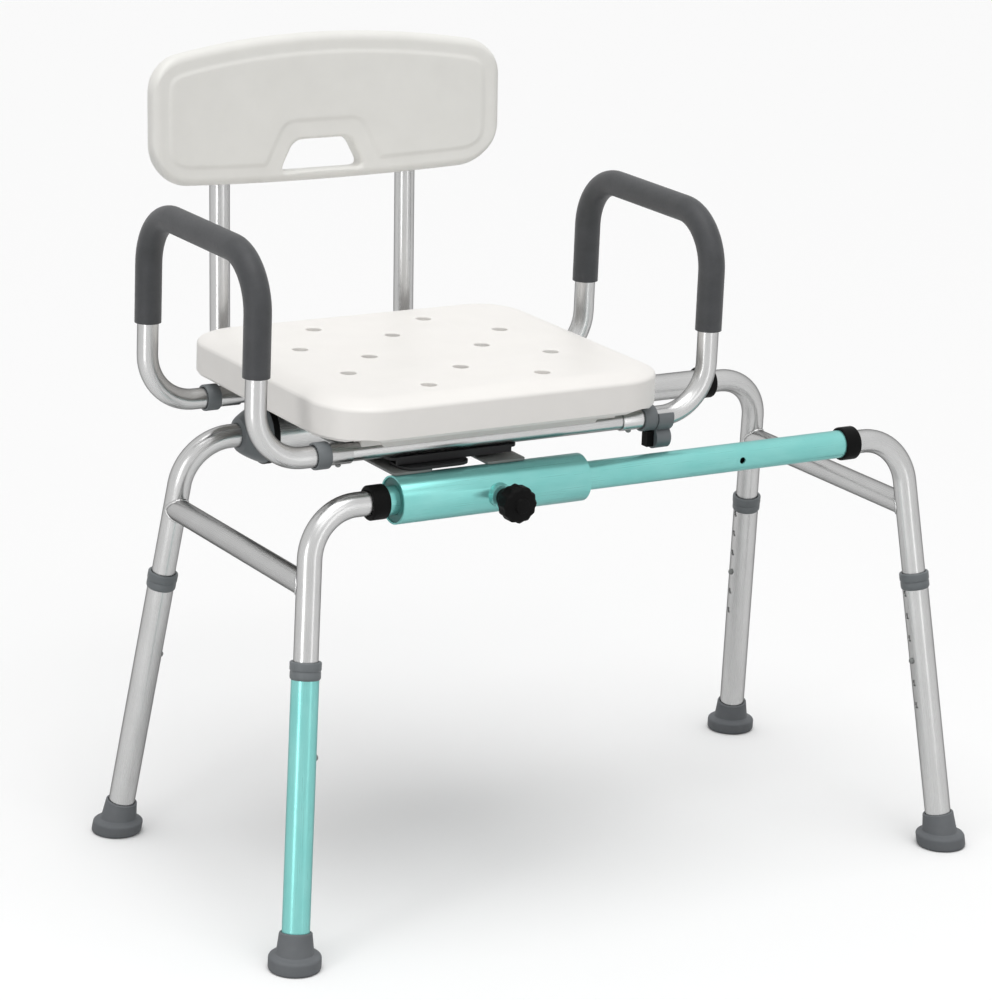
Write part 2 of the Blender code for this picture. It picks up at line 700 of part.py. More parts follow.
def make_swivel(carriage, seat, looks):
    """The base plate and pivot stay with the carriage; the bearing and top plate turn with the seat."""
    base = plate(BASE_PLATE_HALF, BASE_PLATE_HALF, BASE_PLATE_THICK, PLATE_CORNER_R)
    base = piece("swivel_base_plate", base, looks["steel"], carriage, (SWIVEL_DX, 0, BASE_PLATE_Z))
    ring_bm = pipe(BEARING_R, BEARING_BORE_R, 0, BEARING_THICK, SLEEVE_SIDES)
    piece("swivel_bearing", ring_bm, looks["black_metal"], seat, (0, 0, BEARING_Z))
    half_y = SEAT_TUBE_Y + TOP_PLATE_OVERHANG
    top = plate(TOP_PLATE_HALF_X, half_y, TOP_PLATE_THICK, PLATE_CORNER_R)
    top = piece("swivel_top_plate", top, looks["black_metal"], seat, (0, 0, TOP_PLATE_Z))
    for tag, side in (("front", -1), ("rear", 1)):
        long = 2 * (TOP_PLATE_HALF_X - PLATE_CORNER_R)
        lip = box_mesh(long, TOP_PLATE_THICK, TOP_PLATE_LIP + TOP_PLATE_THICK)
        at = (0, side * (half_y - TOP_PLATE_THICK / 2), TOP_PLATE_Z + (TOP_PLATE_THICK - TOP_PLATE_LIP) / 2)
        combine(top, guide(f"add_lip_{tag}", lip, seat, at), "UNION")
    hole = around(PIVOT_R + FIT, FINE_SIDES)
    drilled = ((base, carriage, (SWIVEL_DX, 0, BASE_PLATE_Z)), (top, seat, (0, 0, TOP_PLATE_Z)))
    for owner, parent, at in drilled:
        drill = turned([(hole, -THROUGH), (hole, THROUGH)], FINE_SIDES)
        combine(owner, guide(f"cut_{owner.name}", drill, parent, at), "DIFFERENCE")
    low = BASE_PLATE_Z - GAP
    high = TOP_PLATE_Z + TOP_PLATE_THICK + GAP
    pivot = turned(
        [
            (PIVOT_HEAD_R, low - PIVOT_HEAD_TALL),
            (PIVOT_HEAD_R, low),
            (PIVOT_R, low),
            (PIVOT_R, high),
            (PIVOT_HEAD_R, high),
            (PIVOT_HEAD_R, high + PIVOT_HEAD_TALL),
        ],
        FINE_SIDES,
    )
    piece("swivel_pivot", pivot, looks["steel"], carriage, (SWIVEL_DX, 0, 0))


def make_lever(carriage, looks):
    """The swivel brake: a wide paddle in front, a pin in the left cross plate and a nose at the bearing."""
    at = Vector((SWIVEL_DX - CROSS_PLATE_DX + LEVER_PIVOT_DX, LEVER_PIVOT_Y, 0))
    hub = empty("lever_axis", at, carriage)
    low = CROSS_PLATE_Z - LEVER_THICK
    pin = turned([(LEVER_R, low), (LEVER_R, LEVER_Z + LEVER_THICK / 2)], SMALL_SIDES)
    lever = piece("swivel_lever", pin, looks["black_metal"], hub)
    towards = Vector((SWIVEL_DX, 0, 0)) - at
    nose = towards.normalized() * (towards.length - BEARING_R - GAP)
    side = Vector((-nose.y, nose.x, 0)).normalized() * (LEVER_ARM_WIDE / 2)
    paddle_at = Vector((SWIVEL_DX + PADDLE_DX, PADDLE_Y, 0)) - at
    tail = paddle_at * LEVER_TAIL_SHARE
    tip, root = side * LEVER_NOSE_TAPER, side * LEVER_TAIL_TAPER
    outline = [nose - tip, nose + tip, side, tail + root, tail - root, -side]
    arm = loft([[p + Vector((0, 0, z)) for p in outline] for z in (LEVER_Z, LEVER_Z + LEVER_THICK)])
    combine(lever, guide("add_lever_arm", arm, hub), "UNION")
    paddle = plate(PADDLE_HALF_X, PADDLE_HALF_Y, LEVER_THICK, PADDLE_CORNER_R, 5)
    combine(lever, guide("add_paddle", paddle, hub, (paddle_at.x, paddle_at.y, PADDLE_Z)), "UNION")


def make_clamp(carriage, looks):
    """The knob and its screw, and the pad that the screw presses on the rail."""
    facing = (math.radians(90), 0, 0)
    axis = empty("clamp_axis", (0, -RAIL_Y, RAIL_Z), carriage, facing)
    near = RAIL_R + GAP
    pad = turned([(PAD_R, near), (PAD_R, near + PAD_THICK)], SCREW_SIDES)
    piece("clamp_pad", pad, looks["bush"], axis)
    start = near + PAD_THICK + GAP
    neck = SLEEVE_R + BOSS_LONG + KNOB_FACE_GAP
    face = SLEEVE_R + BOSS_LONG + KNOB_OFF
    root = face + KNOB_BACK_EDGE_TALL
    screw = turned([(SCREW_R, start), (SCREW_R, neck), (KNOB_NECK_R, neck), (KNOB_NECK_R, root)], SCREW_SIDES)
    knob = piece("clamp_knob", screw, looks["black"], axis)
    count = KNOB_LOBES * 4
    rings = []
    profile = (
        (KNOB_BACK_EDGE, 0),
        (0, KNOB_BACK_EDGE_TALL),
        (0, KNOB_THICK - KNOB_FRONT_EDGE_TALL),
        (KNOB_FRONT_EDGE, KNOB_THICK),
    )
    for shrink, z in profile:
        row = []
        for i in range(count):
            angle = 2 * math.pi * i / count
            dip = KNOB_LOBE_DEEP * (0.5 - 0.5 * math.cos(KNOB_LOBES * angle))
            radius = KNOB_R - dip - shrink
            row.append(Vector((radius * math.cos(angle), radius * math.sin(angle), face + z)))
        rings.append(row)
    combine(knob, guide("add_knob", loft(rings), axis), "UNION")
    front = face + KNOB_THICK
    hub_edge = KNOB_HUB_R - KNOB_HUB_EDGE
    hub = turned([(KNOB_HUB_R, front - KNOB_HUB_EDGE), (hub_edge, front + KNOB_HUB_TALL)], FINE_SIDES)
    combine(knob, guide("add_knob_hub", hub, axis), "UNION")


def make_seat_tubes(seat, looks):
    """Two tubes along X; the front one takes the arm buttons, the rear one the stubs of the backrest."""
    along_x = (0, math.radians(90), 0)
    for name, side in (("front", -1), ("rear", 1)):
        place = (SEAT_DX, side * SEAT_TUBE_Y, SEAT_TUBE_Z)
        if side < 0:
            bm = pipe(SEAT_TUBE_R, SEAT_TUBE_BORE_R, -SEAT_TUBE_HALF, SEAT_TUBE_HALF, TUBE_SIDES)
        else:
            bm = turned([(SEAT_TUBE_R, -SEAT_TUBE_HALF), (SEAT_TUBE_R, SEAT_TUBE_HALF)], TUBE_SIDES)
        tube = piece(f"seat_tube_{name}", bm, looks["aluminium"], seat, place, along_x)
        for tag, sx in (("L", -1), ("R", 1)):
            if side < 0:
                hole = around(ARM_BUTTON_R + FIT, BUTTON_SIDES)
                drill = turned([(hole, -THROUGH), (hole, 0)], BUTTON_SIDES)
                at = (place[0] + sx * ARM_BUTTON_X, place[1], SEAT_TUBE_Z)
                combine(tube, guide(f"cut_seat_tube_{tag}", drill, seat, at), "DIFFERENCE")
            else:
                stub = turned([(BACK_STUB_R, 0), (BACK_STUB_R, BACK_STUB_END_Y - SEAT_TUBE_Y)], TUBE_SIDES)
                at = (place[0] + sx * BACK_TUBE_X, SEAT_TUBE_Y, SEAT_TUBE_Z)
                turn = (math.radians(-90), 0, 0)
                combine(tube, guide(f"add_stub_{tag}", stub, seat, at, turn), "UNION")
        if side > 0:
            end = SEAT_TUBE_HALF + THROUGH
            bore = turned([(SEAT_TUBE_BORE_R, -end), (SEAT_TUBE_BORE_R, end)], TUBE_SIDES)
            combine(tube, guide("cut_rear_bore", bore, seat, place, along_x), "DIFFERENCE")


def make_arm(seat, looks, tag, sx):
    """A bent tube that slips over both seat tubes, its foam grip, and the two end collars."""
    y, low = SEAT_TUBE_Y, SEAT_TUBE_Z
    corners = [
        (sx * ARM_END_X, -y, low),
        (sx * ARM_X, -y, low),
        (sx * ARM_X, -y, ARM_TOP_Z),
        (sx * ARM_X, y, ARM_TOP_Z),
        (sx * ARM_X, y, low),
        (sx * ARM_END_X, y, low),
    ]
    radii = [ARM_LOW_BEND_R, ARM_TOP_BEND_R, ARM_TOP_BEND_R, ARM_LOW_BEND_R]
    route = bent_route(corners, radii, BEND_STEPS)
    bore = around(SEAT_TUBE_R + FIT, TUBE_SIDES)
    bm = bent_pipe(route, ARM_R, bore, TUBE_SIDES, Vector((0, 1, 0)))
    arm = piece(f"arm_tube_{tag}", bm, looks["aluminium"], seat, (SEAT_DX, 0, 0))
    hole = around(ARM_BUTTON_R + FIT, BUTTON_SIDES)
    drill = turned([(hole, -THROUGH), (hole, 0)], BUTTON_SIDES)
    at = (SEAT_DX + sx * ARM_BUTTON_X, -y, low)
    combine(arm, guide(f"cut_arm_{tag}", drill, seat, at), "DIFFERENCE")

    grip_corners = [
        (sx * ARM_X, -y, GRIP_LOW_Z),
        (sx * ARM_X, -y, ARM_TOP_Z),
        (sx * ARM_X, y, ARM_TOP_Z),
        (sx * ARM_X, y, GRIP_LOW_Z),
    ]
    grip_route = bent_route(grip_corners, [ARM_TOP_BEND_R] * 2, BEND_STEPS)
    across = Vector((1, 0, 0))
    grip = bent_pipe(grip_route, GRIP_R, around(ARM_R + GAP, TUBE_SIDES), TUBE_SIDES, across)
    piece(f"arm_grip_{tag}", grip, looks["foam"], seat, (SEAT_DX, 0, 0))

    bore_r = around(ARM_R + GAP, FINE_SIDES)
    for end, sy in (("F", -1), ("R", 1)):
        collar = pipe(ARM_COLLAR_R, bore_r, 0, ARM_COLLAR_LONG, FINE_SIDES)
        place = (SEAT_DX + sx * ARM_COLLAR_IN, sy * y, low)
        piece(f"arm_collar_{end}{tag}", collar, looks["grey"], seat, place, (0, sx * math.radians(90), 0))


def make_arm_button(seat, looks, tag, sx):
    """A sprung button under the front seat tube, through the tube and the arm."""
    place = (SEAT_DX + sx * ARM_BUTTON_X, -SEAT_TUBE_Y, SEAT_TUBE_Z)
    axis = empty(f"arm_button_axis_{tag}", place, seat)
    inner = BUTTON_FLANGE_BACK + GAP - SEAT_TUBE_BORE_R * math.cos(math.pi / TUBE_SIDES)
    tip = ARM_R + ARM_BUTTON_OUT
    button = turned(
        [
            (ARM_BUTTON_R * BUTTON_DOME_SHARE, -tip),
            (ARM_BUTTON_R, -tip + BUTTON_DOME),
            (ARM_BUTTON_R, inner),
            (ARM_BUTTON_R + ARM_BUTTON_FLANGE, inner),
            (ARM_BUTTON_R + ARM_BUTTON_FLANGE, inner + ARM_BUTTON_FLANGE),
        ],
        BUTTON_SIDES,
    )
    piece(f"arm_button_{tag}", button, looks["steel"], axis)


def make_clip(seat, looks):
    """The swivel clip: an open ring on the right arm's foot, and below it an open hook and a finger block."""
    hook_z = -(SEAT_TUBE_Z - (RAIL_Z + RAIL_R + CLIP_RAIL_GAP) - CLIP_HOOK_R)
    start = ARM_COLLAR_IN + ARM_COLLAR_LONG + GAP
    axis = empty("clip_axis", (SEAT_DX + start, -SEAT_TUBE_Y, SEAT_TUBE_Z), seat)
    turn = (0, math.radians(90), 0)
    ring_bm = turned([(CLIP_RING_R, 0), (CLIP_RING_R, CLIP_WIDE)], FINE_SIDES)
    body = piece("rail_clip", ring_bm, looks["grey"], axis, (0, 0, 0), turn)
    hook = turned([(CLIP_HOOK_R, CLIP_HOOK_INSET), (CLIP_HOOK_R, CLIP_WIDE - CLIP_HOOK_INSET)], FINE_SIDES)
    combine(body, guide("add_clip_hook", hook, axis, (0, 0, hook_z), turn), "UNION")
    finger = box_mesh(CLIP_FINGER_LONG + 2 * CLIP_FINGER_ROOT, CLIP_FINGER_WIDE, CLIP_FINGER_TALL)
    at = (-CLIP_FINGER_LONG / 2, 0, hook_z + CLIP_FINGER_RISE)
    combine(body, guide("add_clip_finger", finger, axis, at), "UNION")
    bores = (("ring", ARM_R + CLIP_PLAY, -THROUGH, 0), ("hook", CLIP_HOOK_BORE_R, CLIP_FINGER_ROOT, hook_z))
    for name, radius, begin, z in bores:
        bore = around(radius, FINE_SIDES)
        drill = turned([(bore, begin), (bore, CLIP_WIDE + THROUGH)], FINE_SIDES)
        combine(body, guide(f"cut_clip_{name}", drill, axis, (0, 0, z), turn), "DIFFERENCE")
    slit = box_mesh(CLIP_WIDE, CLIP_SLIT, CLIP_HOOK_R)
    at = (CLIP_FINGER_ROOT + CLIP_WIDE / 2, 0, hook_z - CLIP_HOOK_R / 2)
    combine(body, guide("cut_clip_slit", slit, axis, at), "DIFFERENCE")
    mouth = box_mesh(CLIP_WIDE + 2 * THROUGH, 2 * CLIP_RING_R + THROUGH, CLIP_RING_R)
    at = (CLIP_WIDE / 2, 0, CLIP_OPEN_Z + CLIP_RING_R / 2)
    combine(body, guide("cut_clip_mouth", mouth, axis, at), "DIFFERENCE")


def box_mesh(x, y, z):
    bm = bmesh.new()
    bmesh.ops.create_cube(bm, size=1, matrix=Matrix.Diagonal((x, y, z, 1)))
    return bm


def seat_outline(inset, z, steps=5):
    """The seat's plan at a height: straight sides and round corners, larger in front."""
    points = []
    for quarter, (sx, sy) in enumerate(((1, 1), (-1, 1), (-1, -1), (1, -1))):
        corner = SEAT_REAR_CORNER_R if sy > 0 else SEAT_FRONT_CORNER_R
        cx = SEAT_MID_X + sx * (SEAT_HALF_X - corner)
        cy = SEAT_MID_Y + sy * (SEAT_HALF_Y - corner)
        for i in range(steps + 1):
            angle = math.pi / 2 * (quarter + i / steps)
            x = cx + (corner - inset) * math.cos(angle)
            y = cy + (corner - inset) * math.sin(angle)
            points.append(Vector((x, y, z)))
    return points


def seat_crown():
    """The seat's outside above its straight side, as insets and heights: a small edge and a low crown."""
    last = math.radians(SEAT_EDGE_STEPS[-1])
    base = SEAT_TOP_Z - SEAT_CROWN_TALL - SEAT_EDGE_R * math.sin(last)
    pairs = []
    for degrees in SEAT_EDGE_STEPS:
        angle = math.radians(degrees)
        pairs.append((SEAT_EDGE_R * (1 - math.cos(angle)), base + SEAT_EDGE_R * math.sin(angle)))
    start = SEAT_EDGE_R * (1 - math.cos(last))
    for share in SEAT_CROWN_STEPS:
        inset = start + (SEAT_CROWN_IN - start) * share
        pairs.append((inset, SEAT_TOP_Z - SEAT_CROWN_TALL * (1 - share) ** 2))
    return pairs


def make_seat_shell(seat, looks):
    """A moulded seat: a crowned top with drain holes, a skirt, and two saddles that lie on the seat tubes."""
    top, low = SEAT_TOP_Z, SEAT_TOP_Z - SEAT_SIDE_TALL
    under = SEAT_TOP_Z - SEAT_SKIN
    rings = [
        seat_outline(SEAT_WALL, under),
        seat_outline(SEAT_WALL, low),
        seat_outline(SEAT_LIP_IN, low),
        seat_outline(0, low + SEAT_LIP_TALL),
        *(seat_outline(inset, z) for inset, z in seat_crown()),
    ]
    shell = piece("seat_shell", loft(rings), looks["seat"], seat, (SEAT_DX, 0, 0))
    rest = SEAT_TUBE_Z + SADDLE_BED * SEAT_TUBE_R
    for name, sy in (("front", -1), ("rear", 1)):
        tall = under + SADDLE_SINK - rest
        block = box_mesh(SADDLE_LONG, SADDLE_WIDE, tall)
        at = (SEAT_DX, sy * SEAT_TUBE_Y, rest + tall / 2)
        combine(shell, guide(f"add_saddle_{name}", block, seat, at), "UNION")
        bed = turned([(SEAT_TUBE_R + GAP, -SEAT_HALF_X), (SEAT_TUBE_R + GAP, SEAT_HALF_X)], TUBE_SIDES)
        at = (SEAT_DX, sy * SEAT_TUBE_Y, SEAT_TUBE_Z)
        combine(shell, guide(f"cut_saddle_{name}", bed, seat, at, (0, math.radians(90), 0)), "DIFFERENCE")
    for tag, sx in (("L", -1), ("R", 1)):
        wide = around(BACK_STUB_R + GAP, TUBE_SIDES)
        slot = turned([(wide, 0), (wide, SADDLE_WIDE)], TUBE_SIDES)
        at = (SEAT_DX + sx * BACK_TUBE_X, SEAT_TUBE_Y, SEAT_TUBE_Z)
        combine(shell, guide(f"cut_stub_{tag}", slot, seat, at, (math.radians(-90), 0, 0)), "DIFFERENCE")
    for number, (x, y) in enumerate(drain_holes()):
        drill = turned([(SEAT_HOLE_R, under - THROUGH / 2), (SEAT_HOLE_R, top + THROUGH / 2)], SMALL_SIDES)
        at = (SEAT_DX + x, HOLE_CENTRE_Y + y, 0)
        combine(shell, guide(f"cut_drain_{number}", drill, seat, at), "DIFFERENCE")


def drain_holes():
    places = []
    for x, y in (HOLE_OUTER, HOLE_SIDE):
        for sx in (-1, 1):
            for sy in (-1, 1):
                places.append((sx * x, sy * y))
    for side in (-1, 1):
        places.append((0, side * HOLE_MID_Y))
        places.append((side * HOLE_MID_X, 0))
    return places


def make_back_tube(seat, looks, tag, sx):
    x = sx * BACK_TUBE_X
    top_y = BACK_TUBE_CORNER_Y + (BACK_TUBE_TOP_Z - SEAT_TUBE_Z) * BACK_LEAN
    corners = [
        (x, BACK_TUBE_FRONT_Y, SEAT_TUBE_Z),
        (x, BACK_TUBE_CORNER_Y, SEAT_TUBE_Z),
        (x, top_y, BACK_TUBE_TOP_Z),
    ]
    route = bent_route(corners, [BACK_TUBE_BEND_R], BEND_STEPS)
    bore = around(BACK_STUB_R + FIT, TUBE_SIDES)
    bm = bent_pipe(route, BACK_TUBE_R, bore, TUBE_SIDES, Vector((1, 0, 0)))
    piece(f"back_tube_{tag}", bm, looks["aluminium"], seat, (SEAT_DX, 0, 0))


def panel_edge(x, arch, corner):
    """How far the panel reaches above or below its middle at a station, with the corner's rounding."""
    reach = PANEL_END_HALF_TALL + arch * (1 - (x / PANEL_HALF_X) ** 2)
    into = abs(x) - (PANEL_HALF_X - corner)
    if into > 0:
        reach -= corner - math.sqrt(max(0.0, corner ** 2 - into ** 2))
    return reach


def panel_stations():
    """Places along X: even over the middle, then closing round each corner."""
    flat = PANEL_HALF_X - PANEL_LOW_CORNER_R
    inner = [flat * i / PANEL_SPANS for i in range(-PANEL_SPANS, PANEL_SPANS + 1)]
    outer = [flat + PANEL_LOW_CORNER_R * math.sin(math.radians(a)) for a in PANEL_END_STEPS]
    return [-x for x in reversed(outer)] + inner + outer


def panel_section(x):
    """The panel's cross-section at a station: a slab with round edges, which thins out at the very ends."""
    into = max(0.0, abs(x) - (PANEL_HALF_X - PANEL_EDGE_R)) / PANEL_EDGE_R
    half = PANEL_THICK / 2 - PANEL_EDGE_R * (1 - math.sqrt(max(0.0, 1 - into ** 2)))
    high = panel_edge(x, PANEL_TOP_ARCH, PANEL_TOP_CORNER_R)
    low = panel_edge(x, PANEL_LOW_ARCH, PANEL_LOW_CORNER_R)
    middle = panel_lift() - PANEL_BEHIND - PANEL_SAG * (x / PANEL_HALF_X) ** 2
    section = []
    for sy, sz, reach in ((-1, 1, high), (1, 1, high), (1, -1, low), (-1, -1, low)):
        steps = PANEL_EDGE_STEPS if sy != sz else PANEL_EDGE_STEPS[::-1]
        for degrees in steps:
            angle = math.radians(degrees)
            y = half * (1 - PANEL_EDGE_SHARE * (1 - math.cos(angle)))
            z = reach - PANEL_EDGE_R * (1 - math.sin(angle))
            section.append(Vector((x, middle + sy * y, sz * z)))
    return section


def make_back_panel(seat, looks):
    """The backrest: a bowed, arched panel with a hand hole and two sockets at the back for the tubes."""
    middle_y = BACK_TUBE_CORNER_Y + (PANEL_MID_Z - SEAT_TUBE_Z) * BACK_LEAN
    lean = -math.atan(BACK_LEAN)
    frame = empty("back_frame", (SEAT_DX, middle_y, PANEL_MID_Z), seat, (lean, 0, 0))
    panel = piece("back_panel", loft([panel_section(x) for x in panel_stations()]), looks["back"], frame)
    low = -PANEL_END_HALF_TALL
    high = (BACK_TUBE_TOP_Z - PANEL_MID_Z) / math.cos(lean)
    hole = around(BACK_TUBE_R + FIT, TUBE_SIDES)
    for tag, sx in (("L", -1), ("R", 1)):
        boss = turned([(PANEL_BOSS_R, low), (PANEL_BOSS_R, high + PANEL_BOSS_CAP)], TUBE_SIDES)
        combine(panel, guide(f"add_boss_{tag}", boss, frame, (sx * BACK_TUBE_X, 0, 0)), "UNION")
        drill = turned([(hole, low - THROUGH), (hole, high + GAP)], TUBE_SIDES)
        combine(panel, guide(f"cut_socket_{tag}", drill, frame, (sx * BACK_TUBE_X, 0, 0)), "DIFFERENCE")
    at = (0, panel_lift() - PANEL_BEHIND, HANDLE_Z)
    combine(panel, guide("cut_handle", handle_cutter(), frame, at), "DIFFERENCE")


def panel_lift():
    """How far the middle of the panel lies behind its place at the tubes."""
    return PANEL_SAG * (BACK_TUBE_X / PANEL_HALF_X) ** 2


def handle_cutter():
    """A rounded trapezium through the panel, wide at the bottom and flared towards both faces."""
    rings = []
    for y, flare in ((-PANEL_THICK, 2 * HANDLE_FLARE), (0, 0), (PANEL_THICK, 2 * HANDLE_FLARE)):
        high, low = HANDLE_TOP_W / 2 + flare, HANDLE_LOW_W / 2 + flare
        half = (HANDLE_TALL + flare) / 2
        corners = ((low, -half), (high, half), (-high, half), (-low, -half))
        rings.append([Vector((p.x, y, p.y)) for p in rounded(corners)])
    return loft(rings)


def rounded(corners):
    """An outline in a plane, with each corner rounded off."""
    corners = [Vector((*c, 0)) for c in corners]
    route = []
    count = len(corners)
    for i in range(count):
        before, at, after = (corners[(i + k) % count] for k in (-1, 0, 1))
        a = at + (before - at).normalized() * HANDLE_CORNER_R
        b = at + (after - at).normalized() * HANDLE_CORNER_R
        for share in (0, 0.5, 1):
            route.append(a.lerp(at, share).lerp(at.lerp(b, share), share))
    return route


def main():
    clear_scene()
    looks = materials()
    root = empty("chair_base", (0, MID_Y, 0))
    make_rails(root, looks)
    make_rail_collars(root, looks)
    for tag, sx, sy in CORNERS:
        make_upper_leg(root, looks, tag, sx, sy)
        make_lower_leg(root, looks, tag, sx, sy)
        make_leg_button(root, looks, tag, sx, sy)
    for tag, sx in (("L", -1), ("R", 1)):
        make_crossbar(root, looks, tag, sx)

    carriage = empty("carriage", (CARRIAGE_X, 0, 0), root)
    make_sleeve(carriage, looks, "front", -1, "teal")
    make_sleeve(carriage, looks, "rear", 1, "aluminium")
    make_cross_plates(carriage, looks)
    seat = empty("seat_axis", (SWIVEL_DX, 0, 0), carriage)
    make_swivel(carriage, seat, looks)
    make_lever(carriage, looks)
    make_clamp(carriage, looks)
    make_seat_tubes(seat, looks)
    for tag, sx in (("L", -1), ("R", 1)):
        make_arm(seat, looks, tag, sx)
        make_arm_button(seat, looks, tag, sx)
        make_back_tube(seat, looks, tag, sx)
    make_clip(seat, looks)
    make_seat_shell(seat, looks)
    make_back_panel(seat, looks)


main()
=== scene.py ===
"""The looks of the sliding shower chair: each piece again, finer, then the light and the camera."""
import json
from math import atan, cos, pi, radians, sin, sqrt, tan

import bmesh
import bpy
from mathutils import Matrix, Vector


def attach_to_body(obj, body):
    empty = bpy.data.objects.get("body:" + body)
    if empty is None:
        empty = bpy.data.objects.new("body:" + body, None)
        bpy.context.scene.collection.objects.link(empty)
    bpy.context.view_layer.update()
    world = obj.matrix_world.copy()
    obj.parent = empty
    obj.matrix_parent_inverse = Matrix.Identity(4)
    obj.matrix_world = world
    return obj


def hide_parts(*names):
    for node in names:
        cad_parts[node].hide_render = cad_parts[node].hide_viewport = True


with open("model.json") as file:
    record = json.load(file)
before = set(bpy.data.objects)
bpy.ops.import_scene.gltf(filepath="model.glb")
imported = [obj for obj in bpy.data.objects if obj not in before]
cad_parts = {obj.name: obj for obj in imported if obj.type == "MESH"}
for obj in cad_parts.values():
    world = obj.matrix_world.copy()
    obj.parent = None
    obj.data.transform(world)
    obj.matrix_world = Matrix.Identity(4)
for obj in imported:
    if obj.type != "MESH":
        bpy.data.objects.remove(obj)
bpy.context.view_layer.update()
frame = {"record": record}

# Clearances, and the distance at which corners are one
GAP = 0.0003
FIT = 0.0003
MERGE = 1e-7

# Base frame
RAIL_Z = 0.457
RAIL_Y = 0.1395
RAIL_R = 0.015
RAIL_HALF = 0.297
LEG_SPREAD = 0.1085
FOOT_Y = 0.2102
LEG_IN = 0.0948
LEG_BEND_R = 0.055
UPPER_R = 0.0127
UPPER_BORE_R = 0.0114
UPPER_LOW = 0.085
LEG_PLUG = 0.05
LOWER_R = 0.0143
LOWER_TOP = 0.3095
COLLAR_R = 0.0162
COLLAR_TALL = 0.0155
COLLAR_LIP = 0.003
COLLAR_EDGE = 0.0008
CROSSBAR_Z = 0.381
CROSSBAR_R = 0.0123
CROSSBAR_BORE_R = 0.011
CAP_R = 0.018
CAP_OVER = 0.017
CAP_PAST = 0.002
CAP_EDGE = 0.0015
BUMPER_R = 0.0335
BUMPER_OVER = 0.0254
BUMPER_PAST = 0.007
BUMPER_RIM = 0.003
BUMPER_TIP_R = 0.0165
BUMPER_STEPS = tuple(i / 16 for i in range(1, 16))
BUMPER_BELL = 0.75

# Height setting
INDEX_PITCH = 0.0254
HOLES_BELOW = 2
HOLES_ABOVE = 3
BUTTON_AT = 0.2146
BUTTON_R = 0.0032
BUTTON_OUT = 0.003
FLANGE_R = 0.0044
FLANGE_THICK = 0.001
FLANGE_BACK = 0.0008
BUTTON_DOME = 0.0012
DOME_SHARE = 0.55
BUTTON_SIDES = 24
LEAF_LONG = 0.026
LEAF_WIDE = 0.006
LEAF_THICK = 0.0008
LEAF_LEAN = 0.005
LEAF_ABOVE = 0.0035

# Feet
FOOT_R = 0.0272
FOOT_TOP_R = 0.017
FOOT_RIM_TALL = 0.015
FOOT_TALL = 0.038
FOOT_SOLE = 0.01
FOOT_EDGE = 0.0035
FOOT_TOP_EDGE = 0.001
FOOT_SHOULDER_R = 0.0194
FOOT_SHOULDER_TALL = 0.0015

# Carriage
SLEEVE_R = 0.025
SLEEVE_WALL = 0.002
SLEEVE_HALF = 0.1105
SLEEVE_STOP_GAP = 0.0099
BUSH_LONG = 0.018
BUSH_RECESS = 0.0012
LOCK_SHORT = 0.0142
LOCK_HOLE_R = 0.0036
SWIVEL_DX = -0.0331
SEAT_DX = 0.0404
CROSS_WIDE = 0.046
CROSS_DX = 0.0544
CROSS_HALF_Y = 0.1415
CROSS_THICK = 0.003
CROSS_CORNER_R = 0.004
CROSS_STEPS = 2
BASE_HALF = 0.075
BASE_THICK = 0.0025
BEARING_R = 0.06
BEARING_IN_R = 0.044
BEARING_THICK = 0.0055
TOP_HALF_X = 0.075
TOP_OVERHANG = 0.006
TOP_THICK = 0.003
TOP_LIP = 0.0048
PLATE_ROUND = 0.008
PIVOT_R = 0.006
HEAD_R = 0.011
HEAD_TALL = 0.005

# Clamp knob
BOSS_R = 0.0125
BOSS_LONG = 0.008
BOSS_SIDES = 40
SCREW_R = 0.003
PAD_R = 0.0045
PAD_THICK = 0.003
KNOB_R = 0.0195
KNOB_THICK = 0.018
KNOB_OFF = 0.0185
KNOB_NECK_R = 0.0095
KNOB_LOBES = 12
LOBE_STEPS = 4
LOBE_DEEP = 0.0014
KNOB_HUB_R = 0.0085
KNOB_HUB_TALL = 0.003
KNOB_FACE_GAP = 0.001
KNOB_BACK_EDGE = 0.0015
KNOB_BACK_TALL = 0.002
KNOB_FRONT_EDGE = 0.0025
KNOB_FRONT_TALL = 0.003
KNOB_HUB_EDGE = 0.001
SCREW_SIDES = 28

# Swivel lever
LEVER_PIVOT_Y = -0.088
LEVER_PIVOT_DX = 0.006
LEVER_R = 0.003
LEVER_ARM_WIDE = 0.016
LEVER_THICK = 0.003
PADDLE_DX = -0.0253
PADDLE_Y = -0.12
PADDLE_HALF_X = 0.04
PADDLE_HALF_Y = 0.022
PADDLE_ROUND_R = 0.016
PADDLE_STEPS = 5
LEVER_TAIL_SHARE = 0.6
LEVER_NOSE_TAPER = 0.6
LEVER_TAIL_TAPER = 1.4

# Seat frame
BAR_R = 0.0095
BAR_BORE_R = 0.008
BAR_Y = 0.1225
BAR_SHORT = 0.001
ARM_X = 0.266
ARM_TOP_Z = 0.7136
ARM_R = 0.0111
ARM_END_X = 0.16
ARM_LOW_R = 0.054
ARM_TOP_R = 0.057
GRIP_R = 0.014
GRIP_LOW_Z = 0.5948
ARM_COLLAR_PLACE = 0.025
ARM_COLLAR_LONG = 0.0155
ARM_COLLAR_R = 0.014
ARM_BUTTON_PLACE = 0.012
ARM_BUTTON_R = 0.003
ARM_BUTTON_OUT = 0.0028
ARM_FLANGE = 0.001

